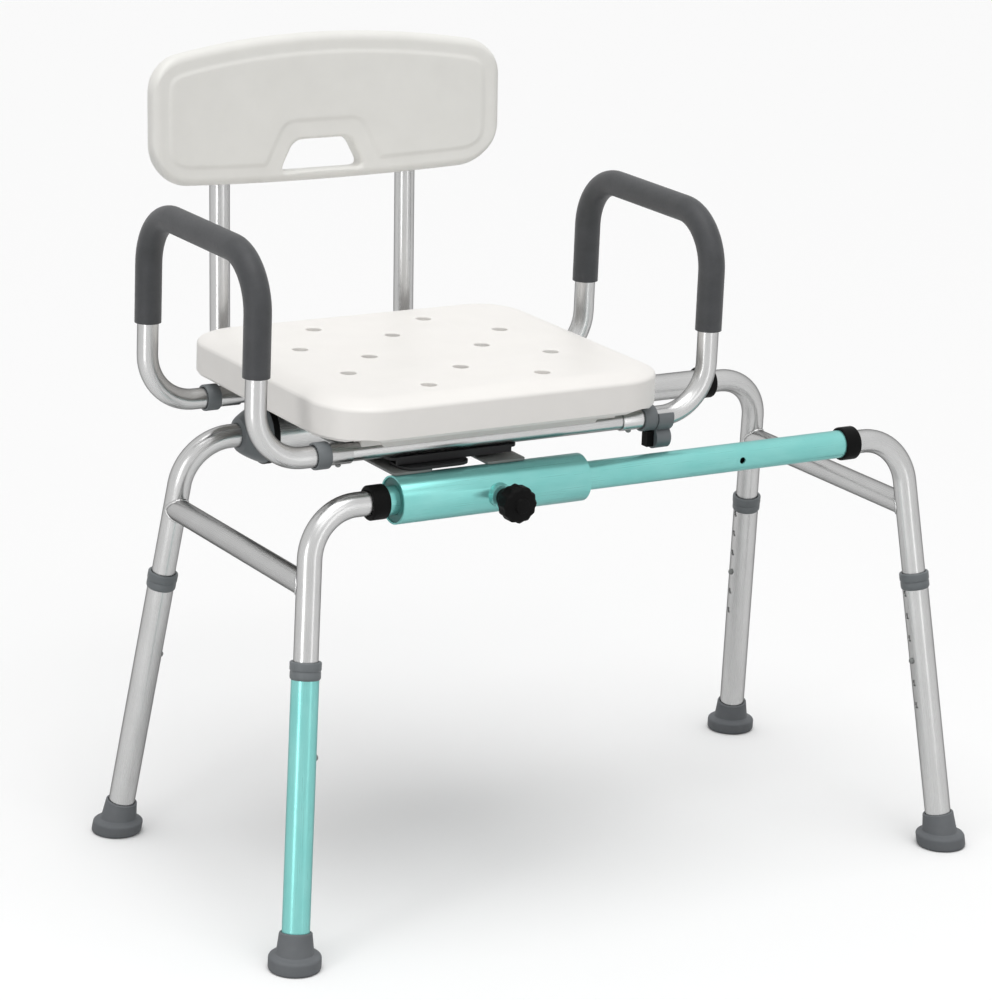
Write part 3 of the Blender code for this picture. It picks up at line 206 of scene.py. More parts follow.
# Rail clip on the right arm
CLIP_WIDE = 0.0185
CLIP_RING_R = 0.015
CLIP_PLAY = 0.0018
CLIP_OPEN_Z = 0.006
HOOK_R = 0.0118
HOOK_BORE_R = 0.007
CLIP_SLIT = 0.008
FINGER_LONG = 0.006
FINGER_WIDE = 0.01
FINGER_TALL = 0.0165
CLIP_RAIL_GAP = 0.001
HOOK_INSET = 0.0005
FINGER_ROOT = 0.002
FINGER_RISE = -0.0005

# Seat
SEAT_MID_X = 0.0035
SEAT_MID_Y = 0.014
SEAT_HALF_X = 0.199
SEAT_HALF_Y = 0.179
SEAT_FRONT_R = 0.06
SEAT_REAR_R = 0.056
SEAT_CORNER_STEPS = 14
SEAT_TOP_Z = 0.567
SEAT_SIDE_TALL = 0.0415
SEAT_EDGE_R = 0.005
SEAT_EDGE_STEPS = tuple(range(0, 61, 6))
CROWN_TALL = 0.0065
CROWN_IN = 0.028
CROWN_STEPS = tuple(i / 12 for i in range(1, 13))
SEAT_SKIN = 0.01
SEAT_WALL = 0.006
SEAT_HOLE_R = 0.0082
SEAT_LIP_IN = 0.002
SEAT_LIP_TALL = 0.003
SADDLE_WIDE = 0.018
SADDLE_LONG = 0.3
SADDLE_BED = 0.35
SADDLE_SINK = 0.001
HOLE_CENTRE_Y = 0.007
HOLE_OUTER = (0.067, 0.124)
HOLE_SIDE = (0.1207, 0.0525)
HOLE_MID_Y = 0.0722
HOLE_MID_X = 0.0675

# Backrest
POST_X = 0.114
POST_R = 0.0111
POST_CORNER_Y = 0.2562
POST_FRONT_Y = 0.137
POST_TOP_Z = 0.8
POST_BEND_R = 0.04
BACK_LEAN = 0.0484
STUB_END_Y = 0.19
STUB_R = 0.0088
PANEL_HALF_X = 0.2118
PANEL_MID_Z = 0.775
PANEL_END_TALL = 0.0655
PANEL_TOP_ARCH = 0.02
PANEL_LOW_ARCH = 0.009
PANEL_TOP_R = 0.034
PANEL_LOW_R = 0.046
PANEL_SAG = 0.02
PANEL_THICK = 0.022
PANEL_EDGE = 0.0095
PANEL_EDGE_SHARE = 0.86
PANEL_END_STEPS = tuple(range(3, 91, 3))
PANEL_SPANS = 80
PANEL_BEHIND = 0.0165
PANEL_BOSS_R = 0.0145
PANEL_BOSS_CAP = 0.006
HANDLE_TOP_W = 0.068
HANDLE_LOW_W = 0.104
HANDLE_TALL = 0.034
HANDLE_CORNER_R = 0.012
HANDLE_STEPS = 8
HANDLE_Z = -0.0457

# How finely round forms are divided
ROUND = 56
SLEEVE_SIDES = 72
BUSH_SIDES = 48
SMALL_SIDES = 32
BEND_STEPS = 20
QUARTER_STEPS = tuple(range(0, 91, 10))
DRILL_SIDES = 28
# How far a cutter reaches past what it cuts
PAST = 0.03

# Sizes that follow from the ones above
LEG_BACK = (FOOT_Y - RAIL_Y) / RAIL_Z
LEG_LONG = sqrt(1 + LEG_IN ** 2 + LEG_BACK ** 2)
FOOT_X = RAIL_HALF + LEG_SPREAD
CAP_IN = RAIL_HALF - CAP_OVER
CAP_OUT = RAIL_HALF + CAP_PAST
BUMPER_IN = RAIL_HALF - BUMPER_OVER
BUMPER_OUT = RAIL_HALF + BUMPER_PAST
CARRIAGE_X = -(CAP_IN - SLEEVE_STOP_GAP - SLEEVE_HALF)
BAR_HALF = ARM_X - ARM_LOW_R - BAR_SHORT
ARM_COLLAR_IN = ARM_END_X + ARM_COLLAR_PLACE
ARM_BUTTON_X = ARM_END_X + ARM_BUTTON_PLACE
SLEEVE_TOP_Z = RAIL_Z + SLEEVE_R
CROSS_Z = SLEEVE_TOP_Z + GAP
BASE_Z = CROSS_Z + CROSS_THICK + GAP
BEARING_Z = BASE_Z + BASE_THICK + GAP
TOP_Z = BEARING_Z + BEARING_THICK + GAP
BAR_Z = TOP_Z + TOP_THICK + GAP + BAR_R
PADDLE_Z = CROSS_Z + CROSS_THICK + GAP
LEVER_Z = BEARING_Z
BACK_REACH = POST_CORNER_Y + (POST_TOP_Z - BAR_Z) * BACK_LEAN + PANEL_BOSS_R
MID_Y = (FOOT_Y - FOOT_EDGE * LEG_BACK + FOOT_R - BACK_REACH) / 2

# The legs and the two sides, with their signs along X and Y
CORNERS = (("FL", -1, -1), ("RL", -1, 1), ("FR", 1, -1), ("RR", 1, 1))
SIDES = (("L", -1), ("R", 1))
CENTRE = (0, 0, 0)
# Turns that lay a local Z along X, towards the front and towards the rear
QUARTER = radians(90)
ALONG_X = (0, QUARTER, 0)
FACING = (QUARTER, 0, 0)
BACKWARD = (-QUARTER, 0, 0)

# Finer details of the visible forms
DRAIN_RIM = 0.0014
ARCH_R = 0.043
ARCH_X = 0.16
ARCH_TALL = 0.0035
ARCH_LONG = 0.045
ARCH_START = 0.01
FIELD_STEPS = 80
FIELD_BLEND = 4
FIELD_BORDER = 0.0205
FIELD_HOLE = 0.021
FIELD_EDGE = 0.0048
FIELD_RISE = 0.0015
HANDLE_ROUND = 0.004
BUMPER_FACE = 0.003
BUMPER_LIP = 0.0004
BUMPER_LIP_LONG = 0.004
WELD_STEPS = 96
WELD_SIDES = 12
WELD_R = 0.0016
WELD_RIPPLE = 0.05
# The leg collar's side as insets and heights: a round lower band, a groove and a wider rim
COLLAR_SIDE = (
    (0.0030, 0.0), (0.0014, 0.0005), (0.0006, 0.0016), (0.0004, 0.0030), (0.0004, 0.0078),
    (0.0008, 0.0086), (0.0008, 0.0094), (0.0001, 0.0101), (0.0, 0.0106),
)
# How far the edges of each kind of piece are rounded, and from which angle
SOFT_EDGES = (
    ("rail_clip", 0.0008), ("cross_plate", 0.0007), ("swivel", 0.0006), ("clamp_knob", 0.0006),
    ("arm_collar", 0.0009), ("arm_tube", 0.0006), ("leg_collar", 0.0004), ("rail_collar", 0.0005),
    ("sleeve", 0.0005), ("foot", 0.0004),
)
EDGE_STEPS = 2
EDGE_ANGLE = 38
SHARP_ANGLE = 32

# Drawn tubes: name, dark and light tone, roughness, tint of the glancing edge and metallic share
DRAWN = (
    ("aluminium", (0.52, 0.52, 0.518), (0.56, 0.56, 0.558), 0.27, 0.20, 1.0),
    ("teal_aluminium", (0.23, 0.61, 0.58), (0.27, 0.65, 0.62), 0.28, 0.4, 0.6),
)
# Moulded or coated parts: the same up to roughness, then grains to the metre, their depth and the shine
MOULDED = (
    ("steel", (0.20, 0.21, 0.205), (0.28, 0.29, 0.285), 0.40, 900.0, 0.00003, 0.5),
    # The cross plates' grey is darkened as painted shade: the shadow that the seat casts on them.
    ("plate_with_painted_shade", (0.17, 0.175, 0.17), (0.22, 0.225, 0.22), 0.42, 900.0, 0.00003, 0.5),
    ("grey_plastic", (0.132, 0.146, 0.154), (0.158, 0.172, 0.180), 0.50, 1300.0, 0.00006, 0.5),
    ("black_plastic", (0.0025, 0.0025, 0.0025), (0.005, 0.005, 0.005), 0.55, 1300.0, 0.00006, 0.08),
    ("black_metal", (0.012, 0.012, 0.013), (0.020, 0.020, 0.021), 0.46, 1700.0, 0.00008, 0.25),
    ("seat_plastic", (0.90, 0.878, 0.846), (0.92, 0.898, 0.866), 0.42, 800.0, 0.00005, 0.5),
    ("back_plastic", (0.85, 0.842, 0.805), (0.88, 0.872, 0.835), 0.42, 800.0, 0.00005, 0.5),
    ("rubber", (0.116, 0.124, 0.132), (0.144, 0.152, 0.160), 0.72, 1100.0, 0.00010, 0.5),
    ("bush_plastic", (0.030, 0.150, 0.142), (0.040, 0.175, 0.166), 0.45, 900.0, 0.00004, 0.5),
)
# Noise as grains to the metre, detail and roughness; the gloss's swing; the relief's depth and strength
DRAW_LINES = ((1400.0, 9.0, 1.0), 4.0, 0.6)
DRAW_CLOUDS = ((60.0, 22.0, 1.0), 2.0)
DRAW_SWING = (0.01, 0.015)
DRAW_RELIEF = (0.0000006, 1.0)
MOULD_CLOUDS = ((26.0,) * 3,)
MOULD_SWING = (0.05, 0.06)
FOAM_TONES = ((0.036, 0.038, 0.041), (0.050, 0.052, 0.056))
FOAM_ROUGH = 0.55
FOAM_GRAIN = ((700.0,) * 3, 4.0)
FOAM_CLOUDS = ((45.0,) * 3, 4.0)
FOAM_CELLS = 1100.0
FOAM_SWING = (0.07, 0.09)
FOAM_RELIEF = (0.00012, 0.6)
FOAM_SHEEN = {"Specular IOR Level": 0.5, "Sheen Weight": 0.12, "Sheen Roughness": 0.5}

# The photograph's view: azimuth, height and lean in degrees
CAMERA_ANGLES = (-31.24, 16.25, -2.36)
CAMERA_AT = (-2.0995, -3.3803, 1.5398)
CAMERA_LENS = 137.95
CAMERA_SENSOR = 36
CAMERA_REACH = 100
# Each soft box: its name, place, aim, size and power
LAMPS = (
    ("left_box", (-1.8, -0.8, 0.55), (0, 0, 0.45), (0.30, 1.1), 4.2),
    ("right_box", (0.32, -1.85, 0.55), (0, 0, 0.45), (0.25, 1.1), 1.4),
    ("front_box", (-0.4, -3.2, 2.7), (0, 0, 0.5), (2.4, 1.0), 9.0),
)
# The sun's power, width and tilt, the room's levels, the height where the upper one begins, and the floor
OVERHEAD = 1.45
OVERHEAD_WIDE = 50
OVERHEAD_TILT = (12, -8, 0)
ROOM_LOW = 0.3
ROOM_HIGH = 0.6
ROOM_TOP = 0.8
FLOOR_HALF = 30
FLOOR_ROUGH = 0.8
FLOOR_SHINE = 0.2
FLOOR_SEEN = (0.965, 0.965, 0.965)
FLOOR_LIT = (0.42, 0.42, 0.42)

rigs = []
made_pieces = {}
owners = {}
looks = {}


def feed(look, node, values):
    """Gives each named input of a node its value, or the output that it follows."""
    for key, value in values.items():
        if isinstance(value, bpy.types.NodeSocket):
            look.node_tree.links.new(value, node.inputs[key])
        else:
            node.inputs[key].default_value = value


def add_node(look, kind, values=None, **settings):
    made = look.node_tree.nodes.new(f"ShaderNode{kind}")
    for key, value in settings.items():
        setattr(made, key, value)
    feed(look, made, values or {})
    return made


def new_look(name, color, values):
    """A material with its plain Principled values, and its shader."""
    look = bpy.data.materials.new(name)
    look.use_nodes = True
    shader = look.node_tree.nodes["Principled BSDF"]
    feed(look, shader, {"Base Color": (*color, 1.0), **values})
    return look, shader


def noise(look, source, stretch, detail=3.0, roughness=0.55):
    """Noise over a set of coordinates, so many grains to the metre along each axis."""
    place = add_node(look, "Mapping", {"Vector": source, "Scale": stretch}).outputs["Vector"]
    values = {"Vector": place, "Scale": 1.0, "Detail": detail, "Roughness": roughness}
    return add_node(look, "TexNoise", values).outputs["Fac"]


def spread(look, source, low=0.0, high=1.0, start=0.3, end=0.7):
    """A value that runs from low to high while its source runs from start to end."""
    values = {"Value": source, "From Min": start, "From Max": end, "To Min": low, "To Max": high}
    return add_node(look, "MapRange", values).outputs["Result"]


def tint(look, shader, source, dark, light):
    """Colour that wanders between two near tones."""
    values = {"Factor": source, "A": (*dark, 1.0), "B": (*light, 1.0)}
    mix = add_node(look, "Mix", values, data_type="RGBA")
    feed(look, shader, {"Base Color": mix.outputs["Result"]})


def surface(name, tones, rough, swing, space, fine, broad, relief, values, cells=None):
    """A material with broad noise in its tone, and fine noise in its gloss and relief."""
    look, shader = new_look(name, tones[1], {"Roughness": rough, **values})
    place = add_node(look, "TexCoord").outputs[space]
    grain = noise(look, place, *fine)
    tint(look, shader, spread(look, noise(look, place, *broad)), *tones)
    gloss = spread(look, grain, rough - swing[0], rough + swing[1])
    height = grain
    if cells:
        height = add_node(look, "TexVoronoi", {"Vector": place, "Scale": cells}).outputs["Distance"]
    values = {"Height": height, "Distance": relief[0], "Strength": relief[1]}
    normal = add_node(look, "Bump", values).outputs["Normal"]
    feed(look, shader, {"Roughness": gloss, "Normal": normal})
    looks[name] = look


def make_looks():
    """Drawn tubes with fine lines and darker glancing edges, moulded parts with a grain, and foam."""
    for name, *tones, rough, edge, metallic in DRAWN:
        values = {"Metallic": metallic, "Specular Tint": (edge, edge, edge, 1.0)}
        surface(name, tones, rough, DRAW_SWING, "UV", DRAW_LINES, DRAW_CLOUDS, DRAW_RELIEF, values)
    for name, *tones, rough, grain, depth, shine in MOULDED:
        fine, relief, values = ((grain,) * 3,), (depth, 1.0), {"Specular IOR Level": shine}
        surface(name, tones, rough, MOULD_SWING, "Object", fine, MOULD_CLOUDS, relief, values)
    grains = (FOAM_GRAIN, FOAM_CLOUDS, FOAM_RELIEF)
    surface("foam", FOAM_TONES, FOAM_ROUGH, FOAM_SWING, "Object", *grains, FOAM_SHEEN, FOAM_CELLS)


def new_object(name, data, parent=None, place=CENTRE, turn=CENTRE):
    made = bpy.data.objects.new(name, data)
    bpy.context.scene.collection.objects.link(made)
    made.parent = parent
    made.location = place
    made.rotation_euler = turn
    return made


def empty(place, parent=None, turn=CENTRE):
    made = new_object("rig", None, parent, place, turn)
    rigs.append(made)
    return made


def piece(name, bm, look, *where):
    """One node's finer form, before its cuts are made, under its parent, at its place and turn."""
    bmesh.ops.remove_doubles(bm, verts=bm.verts, dist=MERGE)
    bmesh.ops.recalc_face_normals(bm, faces=bm.faces)
    mesh = bpy.data.meshes.new(f"{name}_mesh")
    bm.to_mesh(mesh)
    bm.free()
    made = new_object(f"{name}_fine", mesh, *where)
    if look:
        mesh.materials.append(looks[look])
        made_pieces[name] = made
    return made


def trim(name, bm, look, owner, *where):
    """A small extra, such as a weld, that goes with one node."""
    piece(name, bm, look, *where)
    owners[name] = owner


def carve(target, bm, *where, operation="DIFFERENCE"):
    """Cuts a form out of a piece."""
    other = piece("tool", bm, None, *where)
    rigs.append(other)
    step = target.modifiers.new("step", "BOOLEAN")
    step.operation = operation
    step.solver = "EXACT"
    step.object = other
    return step


def attach(target, bm, *where):
    return carve(target, bm, *where, operation="UNION")


def loft(rings, close=False):
    """Skins rings of equal length, capped or joined up, its surface laid out in metres round and along."""
    bm = bmesh.new()
    layout = bm.loops.layers.uv.verify()
    rows = [[bm.verts.new(p) for p in row] for row in rings]
    pairs = list(zip(rows, rows[1:]))
    runs = [0.0]
    for before, after in zip(rings, rings[1:] + rings[:1]):
        runs.append(runs[-1] + (after[0] - before[0]).length)
    step = (rings[0][1] - rings[0][0]).length
    if close:
        pairs.append((rows[-1], rows[0]))
    for k, (low, high) in enumerate(pairs):
        count = len(low)
        for i in range(count):
            j = (i + 1) % count
            face = bm.faces.new((low[i], low[j], high[j], high[i]))
            spots = ((i, k), (i + 1, k), (i + 1, k + 1), (i, k + 1))
            for corner, (round_it, along) in zip(face.loops, spots):
                corner[layout].uv = (round_it * step, runs[along])
    if not close:
        bm.faces.new(rows[0][::-1])
        bm.faces.new(rows[-1])
    return bm


def ring(centre, across, up, radius, sides=ROUND):
    """A regular polygon round a centre, with the middle of a flat towards across."""
    angles = [2 * pi * (i + 0.5) / sides for i in range(sides)]
    return [Vector(centre) + across * (radius * cos(a)) + up * (radius * sin(a)) for a in angles]


def around(radius, sides=ROUND):
    """The corner radius of a polygon whose flats stay outside this radius."""
    return radius / cos(pi / sides)


def turned(profile, sides=ROUND, close=False):
    """A solid turned about local Z, from an open or a closed run of (radius, height) pairs."""
    across, up = Vector((1, 0, 0)), Vector((0, 1, 0))
    return loft([ring((0, 0, h), across, up, r, sides) for r, h in profile], close)


def rod(radius, low, high, sides=ROUND):
    return turned([(radius, low), (radius, high)], sides)


def pipe(outer, inner, low, high, sides=ROUND):
    return turned([(outer, low), (outer, high), (inner, high), (inner, low)], sides, True)


def quarter_round(steps=QUARTER_STEPS):
    """How far in and up a quarter round has come at each angle, in parts of its radius."""
    return [(1 - cos(a), sin(a)) for a in map(radians, steps)]


def bent_route(corners, radii):
    """Points along a run of straights, with each inner corner rounded to its radius."""
    corners = [Vector(c) for c in corners]
    route = [corners[0]]
    for before, corner, after, radius in zip(corners, corners[1:], corners[2:], radii):
        back = (before - corner).normalized()
        ahead = (after - corner).normalized()
        half = back.angle(ahead) / 2
        middle = corner + (back + ahead).normalized() * (radius / sin(half))
        a = corner + back * (radius / tan(half)) - middle
        b = corner + ahead * (radius / tan(half)) - middle
        sweep = a.angle(b)
        for i in range(BEND_STEPS + 1):
            t = i / BEND_STEPS
            near, far = sin((1 - t) * sweep) / sin(sweep), sin(t * sweep) / sin(sweep)
            route.append(middle + (a * near + b * far))
    return [*route, corners[-1]]


def frames(route, start):
    """Each point of a route with its across and up directions, without twist."""
    out = []
    across = start
    for i, point in enumerate(route):
        before = route[max(i - 1, 0)]
        after = route[min(i + 1, len(route) - 1)]
        ahead = (after - point).normalized() if i == 0 else (point - before).normalized()
        if 0 < i < len(route) - 1:
            ahead = (ahead + (after - point).normalized()).normalized()
        across = (across - ahead * across.dot(ahead)).normalized()
        out.append((point, across, ahead.cross(across)))
    return out


def bent_pipe(corners, radii, outer, inner, start):
    """A tube along straights and bends, open at both ends."""
    route = frames(bent_route(corners, radii), start)
    out, back = ([ring(p, across, up, radius) for p, across, up in route] for radius in (outer, inner))
    return loft(out + back[::-1], True)


def round_outline(half_x, half_y, radii, steps, inset=0, z=0, middle=(0, 0)):
    """A plan at a height, its corners rounded with one radius in front and one behind."""
    points = []
    for quarter, (sx, sy) in enumerate(((1, 1), (-1, 1), (-1, -1), (1, -1))):
        corner = radii[sy > 0]
        cx, cy = middle[0] + sx * (half_x - corner), middle[1] + sy * (half_y - corner)
        for i in range(steps + 1):
            angle = pi / 2 * (quarter + i / steps)
            points.append(Vector((cx + (corner - inset) * cos(angle), cy + (corner - inset) * sin(angle), z)))
    return points


def plate(half_x, half_y, thick, corner, steps=3):
    """A flat plate with rounded corners, its underside on local Z 0."""
    return loft([round_outline(half_x, half_y, (corner, corner), steps, z=z) for z in (0, thick)])


def box_mesh(x, y, z):
    bm = bmesh.new()
    bmesh.ops.create_cube(bm, size=1, matrix=Matrix.Diagonal((x, y, z, 1)))
    return bm


def leg_axis(sx, sy):
    """The unit direction of a leg, from its foot up to its bend."""
    return Vector((-sx * LEG_IN, -sy * LEG_BACK, 1)).normalized()


def leg_point(sx, sy, z):
    """The leg's centre line at a height."""
    return Vector((sx * (FOOT_X - z * LEG_IN), sy * (FOOT_Y - z * LEG_BACK), z))


def leg_inward(sx, sy):
    """Square to the leg, towards the middle of the chair along X."""
    axis = leg_axis(sx, sy)
    side = Vector((-sx, 0, 0))
    return (side - axis * side.dot(axis)).normalized()


def leg_turn(sx, sy):
    """The rotation whose Z is the leg's axis and whose X points inward."""
    axis, inward = leg_axis(sx, sy), leg_inward(sx, sy)
    return Matrix((inward, axis.cross(inward), axis)).transposed().to_euler()


def make_rails(root):
    for name, side, look in (("rail_front", -1, "teal_aluminium"), ("rail_rear", 1, "aluminium")):
        bm = pipe(RAIL_R, around(UPPER_R + FIT), -RAIL_HALF, RAIL_HALF)
        rail = piece(name, bm, look, root, (0, side * RAIL_Y, RAIL_Z), ALONG_X)
        if side < 0:
            for x in (CARRIAGE_X, -CARRIAGE_X - LOCK_SHORT):
                drill = rod(LOCK_HOLE_R, 0, 2 * RAIL_R, DRILL_SIDES)
                carve(rail, drill, root, (x, -RAIL_Y, RAIL_Z), FACING)


def make_rail_collars(root):
    """The plastic ends of the rails: a wide bumper at the rear left, the others plain."""
    bore, leg_bore, shoulder = around(RAIL_R + FIT), around(UPPER_R + FIT), RAIL_HALF + GAP
    plain = [
        (CAP_R - CAP_EDGE, CAP_IN), (CAP_R, CAP_IN + CAP_EDGE),
        (CAP_R, CAP_OUT - CAP_EDGE), (CAP_R - CAP_EDGE, CAP_OUT),
    ]
    bell = [(BUMPER_R - CAP_EDGE, BUMPER_IN), (BUMPER_R, BUMPER_IN + CAP_EDGE)]
    begin = BUMPER_IN + BUMPER_RIM
    for share in BUMPER_STEPS:
        radius = BUMPER_TIP_R + (BUMPER_R - BUMPER_TIP_R) * (1 - share) ** BUMPER_BELL
        bell.append((radius, begin + share * (BUMPER_OUT - begin)))
    for tag, sx, sy in CORNERS:
        bumper = tag == "RL"
        start, end = (BUMPER_IN, BUMPER_OUT) if bumper else (CAP_IN, CAP_OUT)
        inside = [(leg_bore, end), (leg_bore, shoulder), (bore, shoulder), (bore, start)]
        bm = turned((bell if bumper else plain) + inside, close=True)
        place, turn = (0, sy * RAIL_Y, RAIL_Z), (0, sx * QUARTER, 0)
        piece(f"rail_collar_{tag}", bm, "grey_plastic" if bumper else "black_plastic", root, place, turn)
        if bumper:
            # A thin black ring at the bumper's inner end: partly the bumper's black rim, partly painted shade
            # for the gap between the bumper and the sleeve.
            rim, near, far = BUMPER_R + BUMPER_LIP, BUMPER_IN - BUMPER_FACE, BUMPER_IN + BUMPER_LIP_LONG
            lip = [(rim - BUMPER_LIP, near), (rim, near + BUMPER_LIP), (rim, far), (BUMPER_R - GAP, far)]
            shut = [(BUMPER_R - GAP, BUMPER_IN + GAP), (bore, BUMPER_IN + GAP), (bore, near)]
            face = turned(lip + shut, close=True)
            trim("bumper_face", face, "black_plastic", "rail_collar_RL", root, place, turn)


def button_drill(leg, parent, sx, sy, along):
    """Cuts a button's hole through the inner wall of a leg, at a distance along it."""
    drill = rod(around(BUTTON_R + FIT, DRILL_SIDES), 0, 2 * LOWER_R, DRILL_SIDES)
    place = leg_point(sx, sy, 0) + leg_axis(sx, sy) * along
    carve(leg, drill, parent, place, leg_inward(sx, sy).to_track_quat("Z", "Y").to_euler())


def make_upper_leg(root, tag, sx, sy):
    low, bend = leg_point(sx, sy, UPPER_LOW / LEG_LONG), leg_point(sx, sy, RAIL_Z)
    corners = [low, bend, (sx * (RAIL_HALF - LEG_PLUG), sy * RAIL_Y, RAIL_Z)]
    bm = bent_pipe(corners, [LEG_BEND_R], UPPER_R, UPPER_BORE_R, leg_inward(sx, sy))
    leg = piece(f"leg_upper_{tag}", bm, "aluminium", root)
    button_drill(leg, root, sx, sy, BUTTON_AT)


def make_lower_leg(root, tag, sx, sy):
    """The outer tube with its index holes, and its collar."""
    axis = empty(leg_point(sx, sy, 0), root, leg_turn(sx, sy))
    bore = around(UPPER_R + FIT)
    look = "teal_aluminium" if tag == "FL" else "aluminium"
    leg = piece(f"leg_lower_{tag}", pipe(LOWER_R, bore, FOOT_SOLE + GAP, LOWER_TOP), look, axis)
    for step in range(-HOLES_BELOW, HOLES_ABOVE + 1):
        button_drill(leg, root, sx, sy, BUTTON_AT + step * INDEX_PITCH)
    tube, top = around(LOWER_R + GAP), LOWER_TOP + GAP
    side = [(COLLAR_R - inset, top - COLLAR_TALL + rise) for inset, rise in COLLAR_SIDE]
    rim = [(COLLAR_R, top + COLLAR_LIP - COLLAR_EDGE), (COLLAR_R - COLLAR_EDGE, top + COLLAR_LIP)]
    inside = [(bore, top + COLLAR_LIP), (bore, top), (tube, top), (tube, top - COLLAR_TALL)]
    piece(f"leg_collar_{tag}", turned(side + rim + inside, close=True), "grey_plastic", axis)


def make_foot(root, tag, sx, sy):
    """A rubber tip: flat on the floor, then turning square to the leg, with a blind bore for the tube."""
    axis, inward, foot = leg_axis(sx, sy), leg_inward(sx, sy), leg_point(sx, sy, 0)
    flat_x = Vector((inward.x, inward.y, 0)).normalized()
    flat_y = Vector((0, 0, 1)).cross(flat_x)

    def level(radius, z):
        return ring(foot + axis * (z / axis.z), flat_x, flat_y, radius)

    def square(radius, along):
        return ring(foot + axis * along, inward, axis.cross(inward), radius)

    bore = around(LOWER_R + GAP)
    edge = [(FOOT_EDGE * near, FOOT_EDGE * (1 - up)) for near, up in quarter_round()]
    rings = [
        *[level(FOOT_R - far, near) for near, far in edge],
        *[level(FOOT_R - near, FOOT_RIM_TALL - far) for near, far in edge],
        level(FOOT_SHOULDER_R, FOOT_RIM_TALL + FOOT_SHOULDER_TALL),
        square(FOOT_TOP_R, FOOT_TALL - FOOT_TOP_EDGE), square(FOOT_TOP_R - FOOT_TOP_EDGE, FOOT_TALL),
        square(bore, FOOT_TALL), square(bore, FOOT_SOLE),
    ]
    piece(f"foot_{tag}", loft([[p - foot for p in r] for r in rings]), "rubber", root, foot)


def make_leg_button(root, tag, sx, sy):
    """A sprung button: a pin through both tubes, its flange and the leaf that carries it."""
    inner = UPPER_BORE_R * cos(pi / ROUND) - GAP - FLANGE_BACK
    back, tip = inner - FLANGE_THICK, LOWER_R + BUTTON_OUT
    axis = empty(leg_point(sx, sy, 0) + leg_axis(sx, sy) * BUTTON_AT, root, leg_turn(sx, sy))
    pin = [
        (FLANGE_R, back), (FLANGE_R, inner), (BUTTON_R, inner),
        (BUTTON_R, tip - BUTTON_DOME), (BUTTON_R * DOME_SHARE, tip),
    ]
    button = piece(f"leg_button_{tag}", turned(pin, BUTTON_SIDES), "steel", axis, CENTRE, ALONG_X)
    half, sunk = LEAF_WIDE / 2, FLANGE_THICK / 2
    section = ((sunk, -half), (sunk, half), (sunk - LEAF_THICK, half), (sunk - LEAF_THICK, -half))
    ends = ((LEAF_ABOVE, back), (-LEAF_LONG, back - LEAF_LEAN))
    leaf = loft([[Vector((x + dx, y, z)) for dx, y in section] for z, x in ends])
    attach(button, leaf, axis)


def make_crossbar(root, tag, sx):
    """A tube between the front and rear legs of one side, its ends shaped to the legs and welded on."""
    end = leg_point(sx, 1, CROSSBAR_Z)
    bm = pipe(CROSSBAR_R, CROSSBAR_BORE_R, -end.y, end.y)
    bar = piece(f"crossbar_{tag}", bm, "aluminium", root, (end.x, 0, end.z), FACING)
    for side, sy in (("F", -1), ("R", 1)):
        cope, place = rod(UPPER_R + GAP, -PAST, PAST), leg_point(sx, sy, CROSSBAR_Z)
        carve(bar, cope, root, place, leg_turn(sx, sy))
        trim(f"weld_{side}{tag}", weld(sx, sy), "aluminium", f"crossbar_{tag}", root)


def weld(sx, sy):
    """The bead where a crossbar meets a leg, along the line in which the two tubes cross, with ripples."""
    base, axis = leg_point(sx, sy, CROSSBAR_Z), leg_axis(sx, sy)
    ahead = Vector((0, sy, 0))
    flat = ahead - axis * ahead.dot(axis)
    line = []
    for i in range(WELD_STEPS):
        angle = 2 * pi * i / WELD_STEPS
        start = Vector((base.x + CROSSBAR_R * cos(angle), 0, base.z + CROSSBAR_R * sin(angle)))
        away = start - base
        away -= axis * away.dot(axis)
        half = away.dot(flat) / flat.length_squared
        depth = half ** 2 - (away.length_squared - UPPER_R ** 2) / flat.length_squared
        line.append(start - ahead * (half + sqrt(max(depth, 0.0))))
    rings = []
    for i, point in enumerate(line):
        along = (line[(i + 1) % WELD_STEPS] - line[i - 1]).normalized()
        out = (point - base).cross(along).normalized()
        radius = WELD_R * (1 + WELD_RIPPLE * (i % 4 - 1.5))
        rings.append(ring(point, out, along.cross(out), radius, WELD_SIDES))
    return loft(rings, True)


def make_sleeve(carriage, name, side, look, bush_look):
    bore, end = SLEEVE_R - SLEEVE_WALL, SLEEVE_HALF - BUSH_RECESS
    place, face = (0, side * RAIL_Y, RAIL_Z), SLEEVE_R + BOSS_LONG
    bm = pipe(SLEEVE_R, bore, -SLEEVE_HALF, SLEEVE_HALF, SLEEVE_SIDES)
    sleeve = piece(f"sleeve_{name}", bm, look, carriage, place, ALONG_X)
    if side < 0:
        boss = rod(BOSS_R, bore + SLEEVE_WALL / 3, face, BOSS_SIDES)
        attach(sleeve, boss, carriage, place, FACING)
        drill = rod(around(SCREW_R + FIT, SCREW_SIDES), 0, face + PAST, SCREW_SIDES)
        carve(sleeve, drill, carriage, place, FACING)
    outer, inner = bore * cos(pi / SLEEVE_SIDES) - GAP, around(RAIL_R + FIT, BUSH_SIDES)
    for tag, sx in SIDES:
        bush = pipe(outer, inner, end - BUSH_LONG, end, BUSH_SIDES)
        piece(f"bush_{name}_{tag}", bush, bush_look, carriage, place, (0, sx * QUARTER, 0))


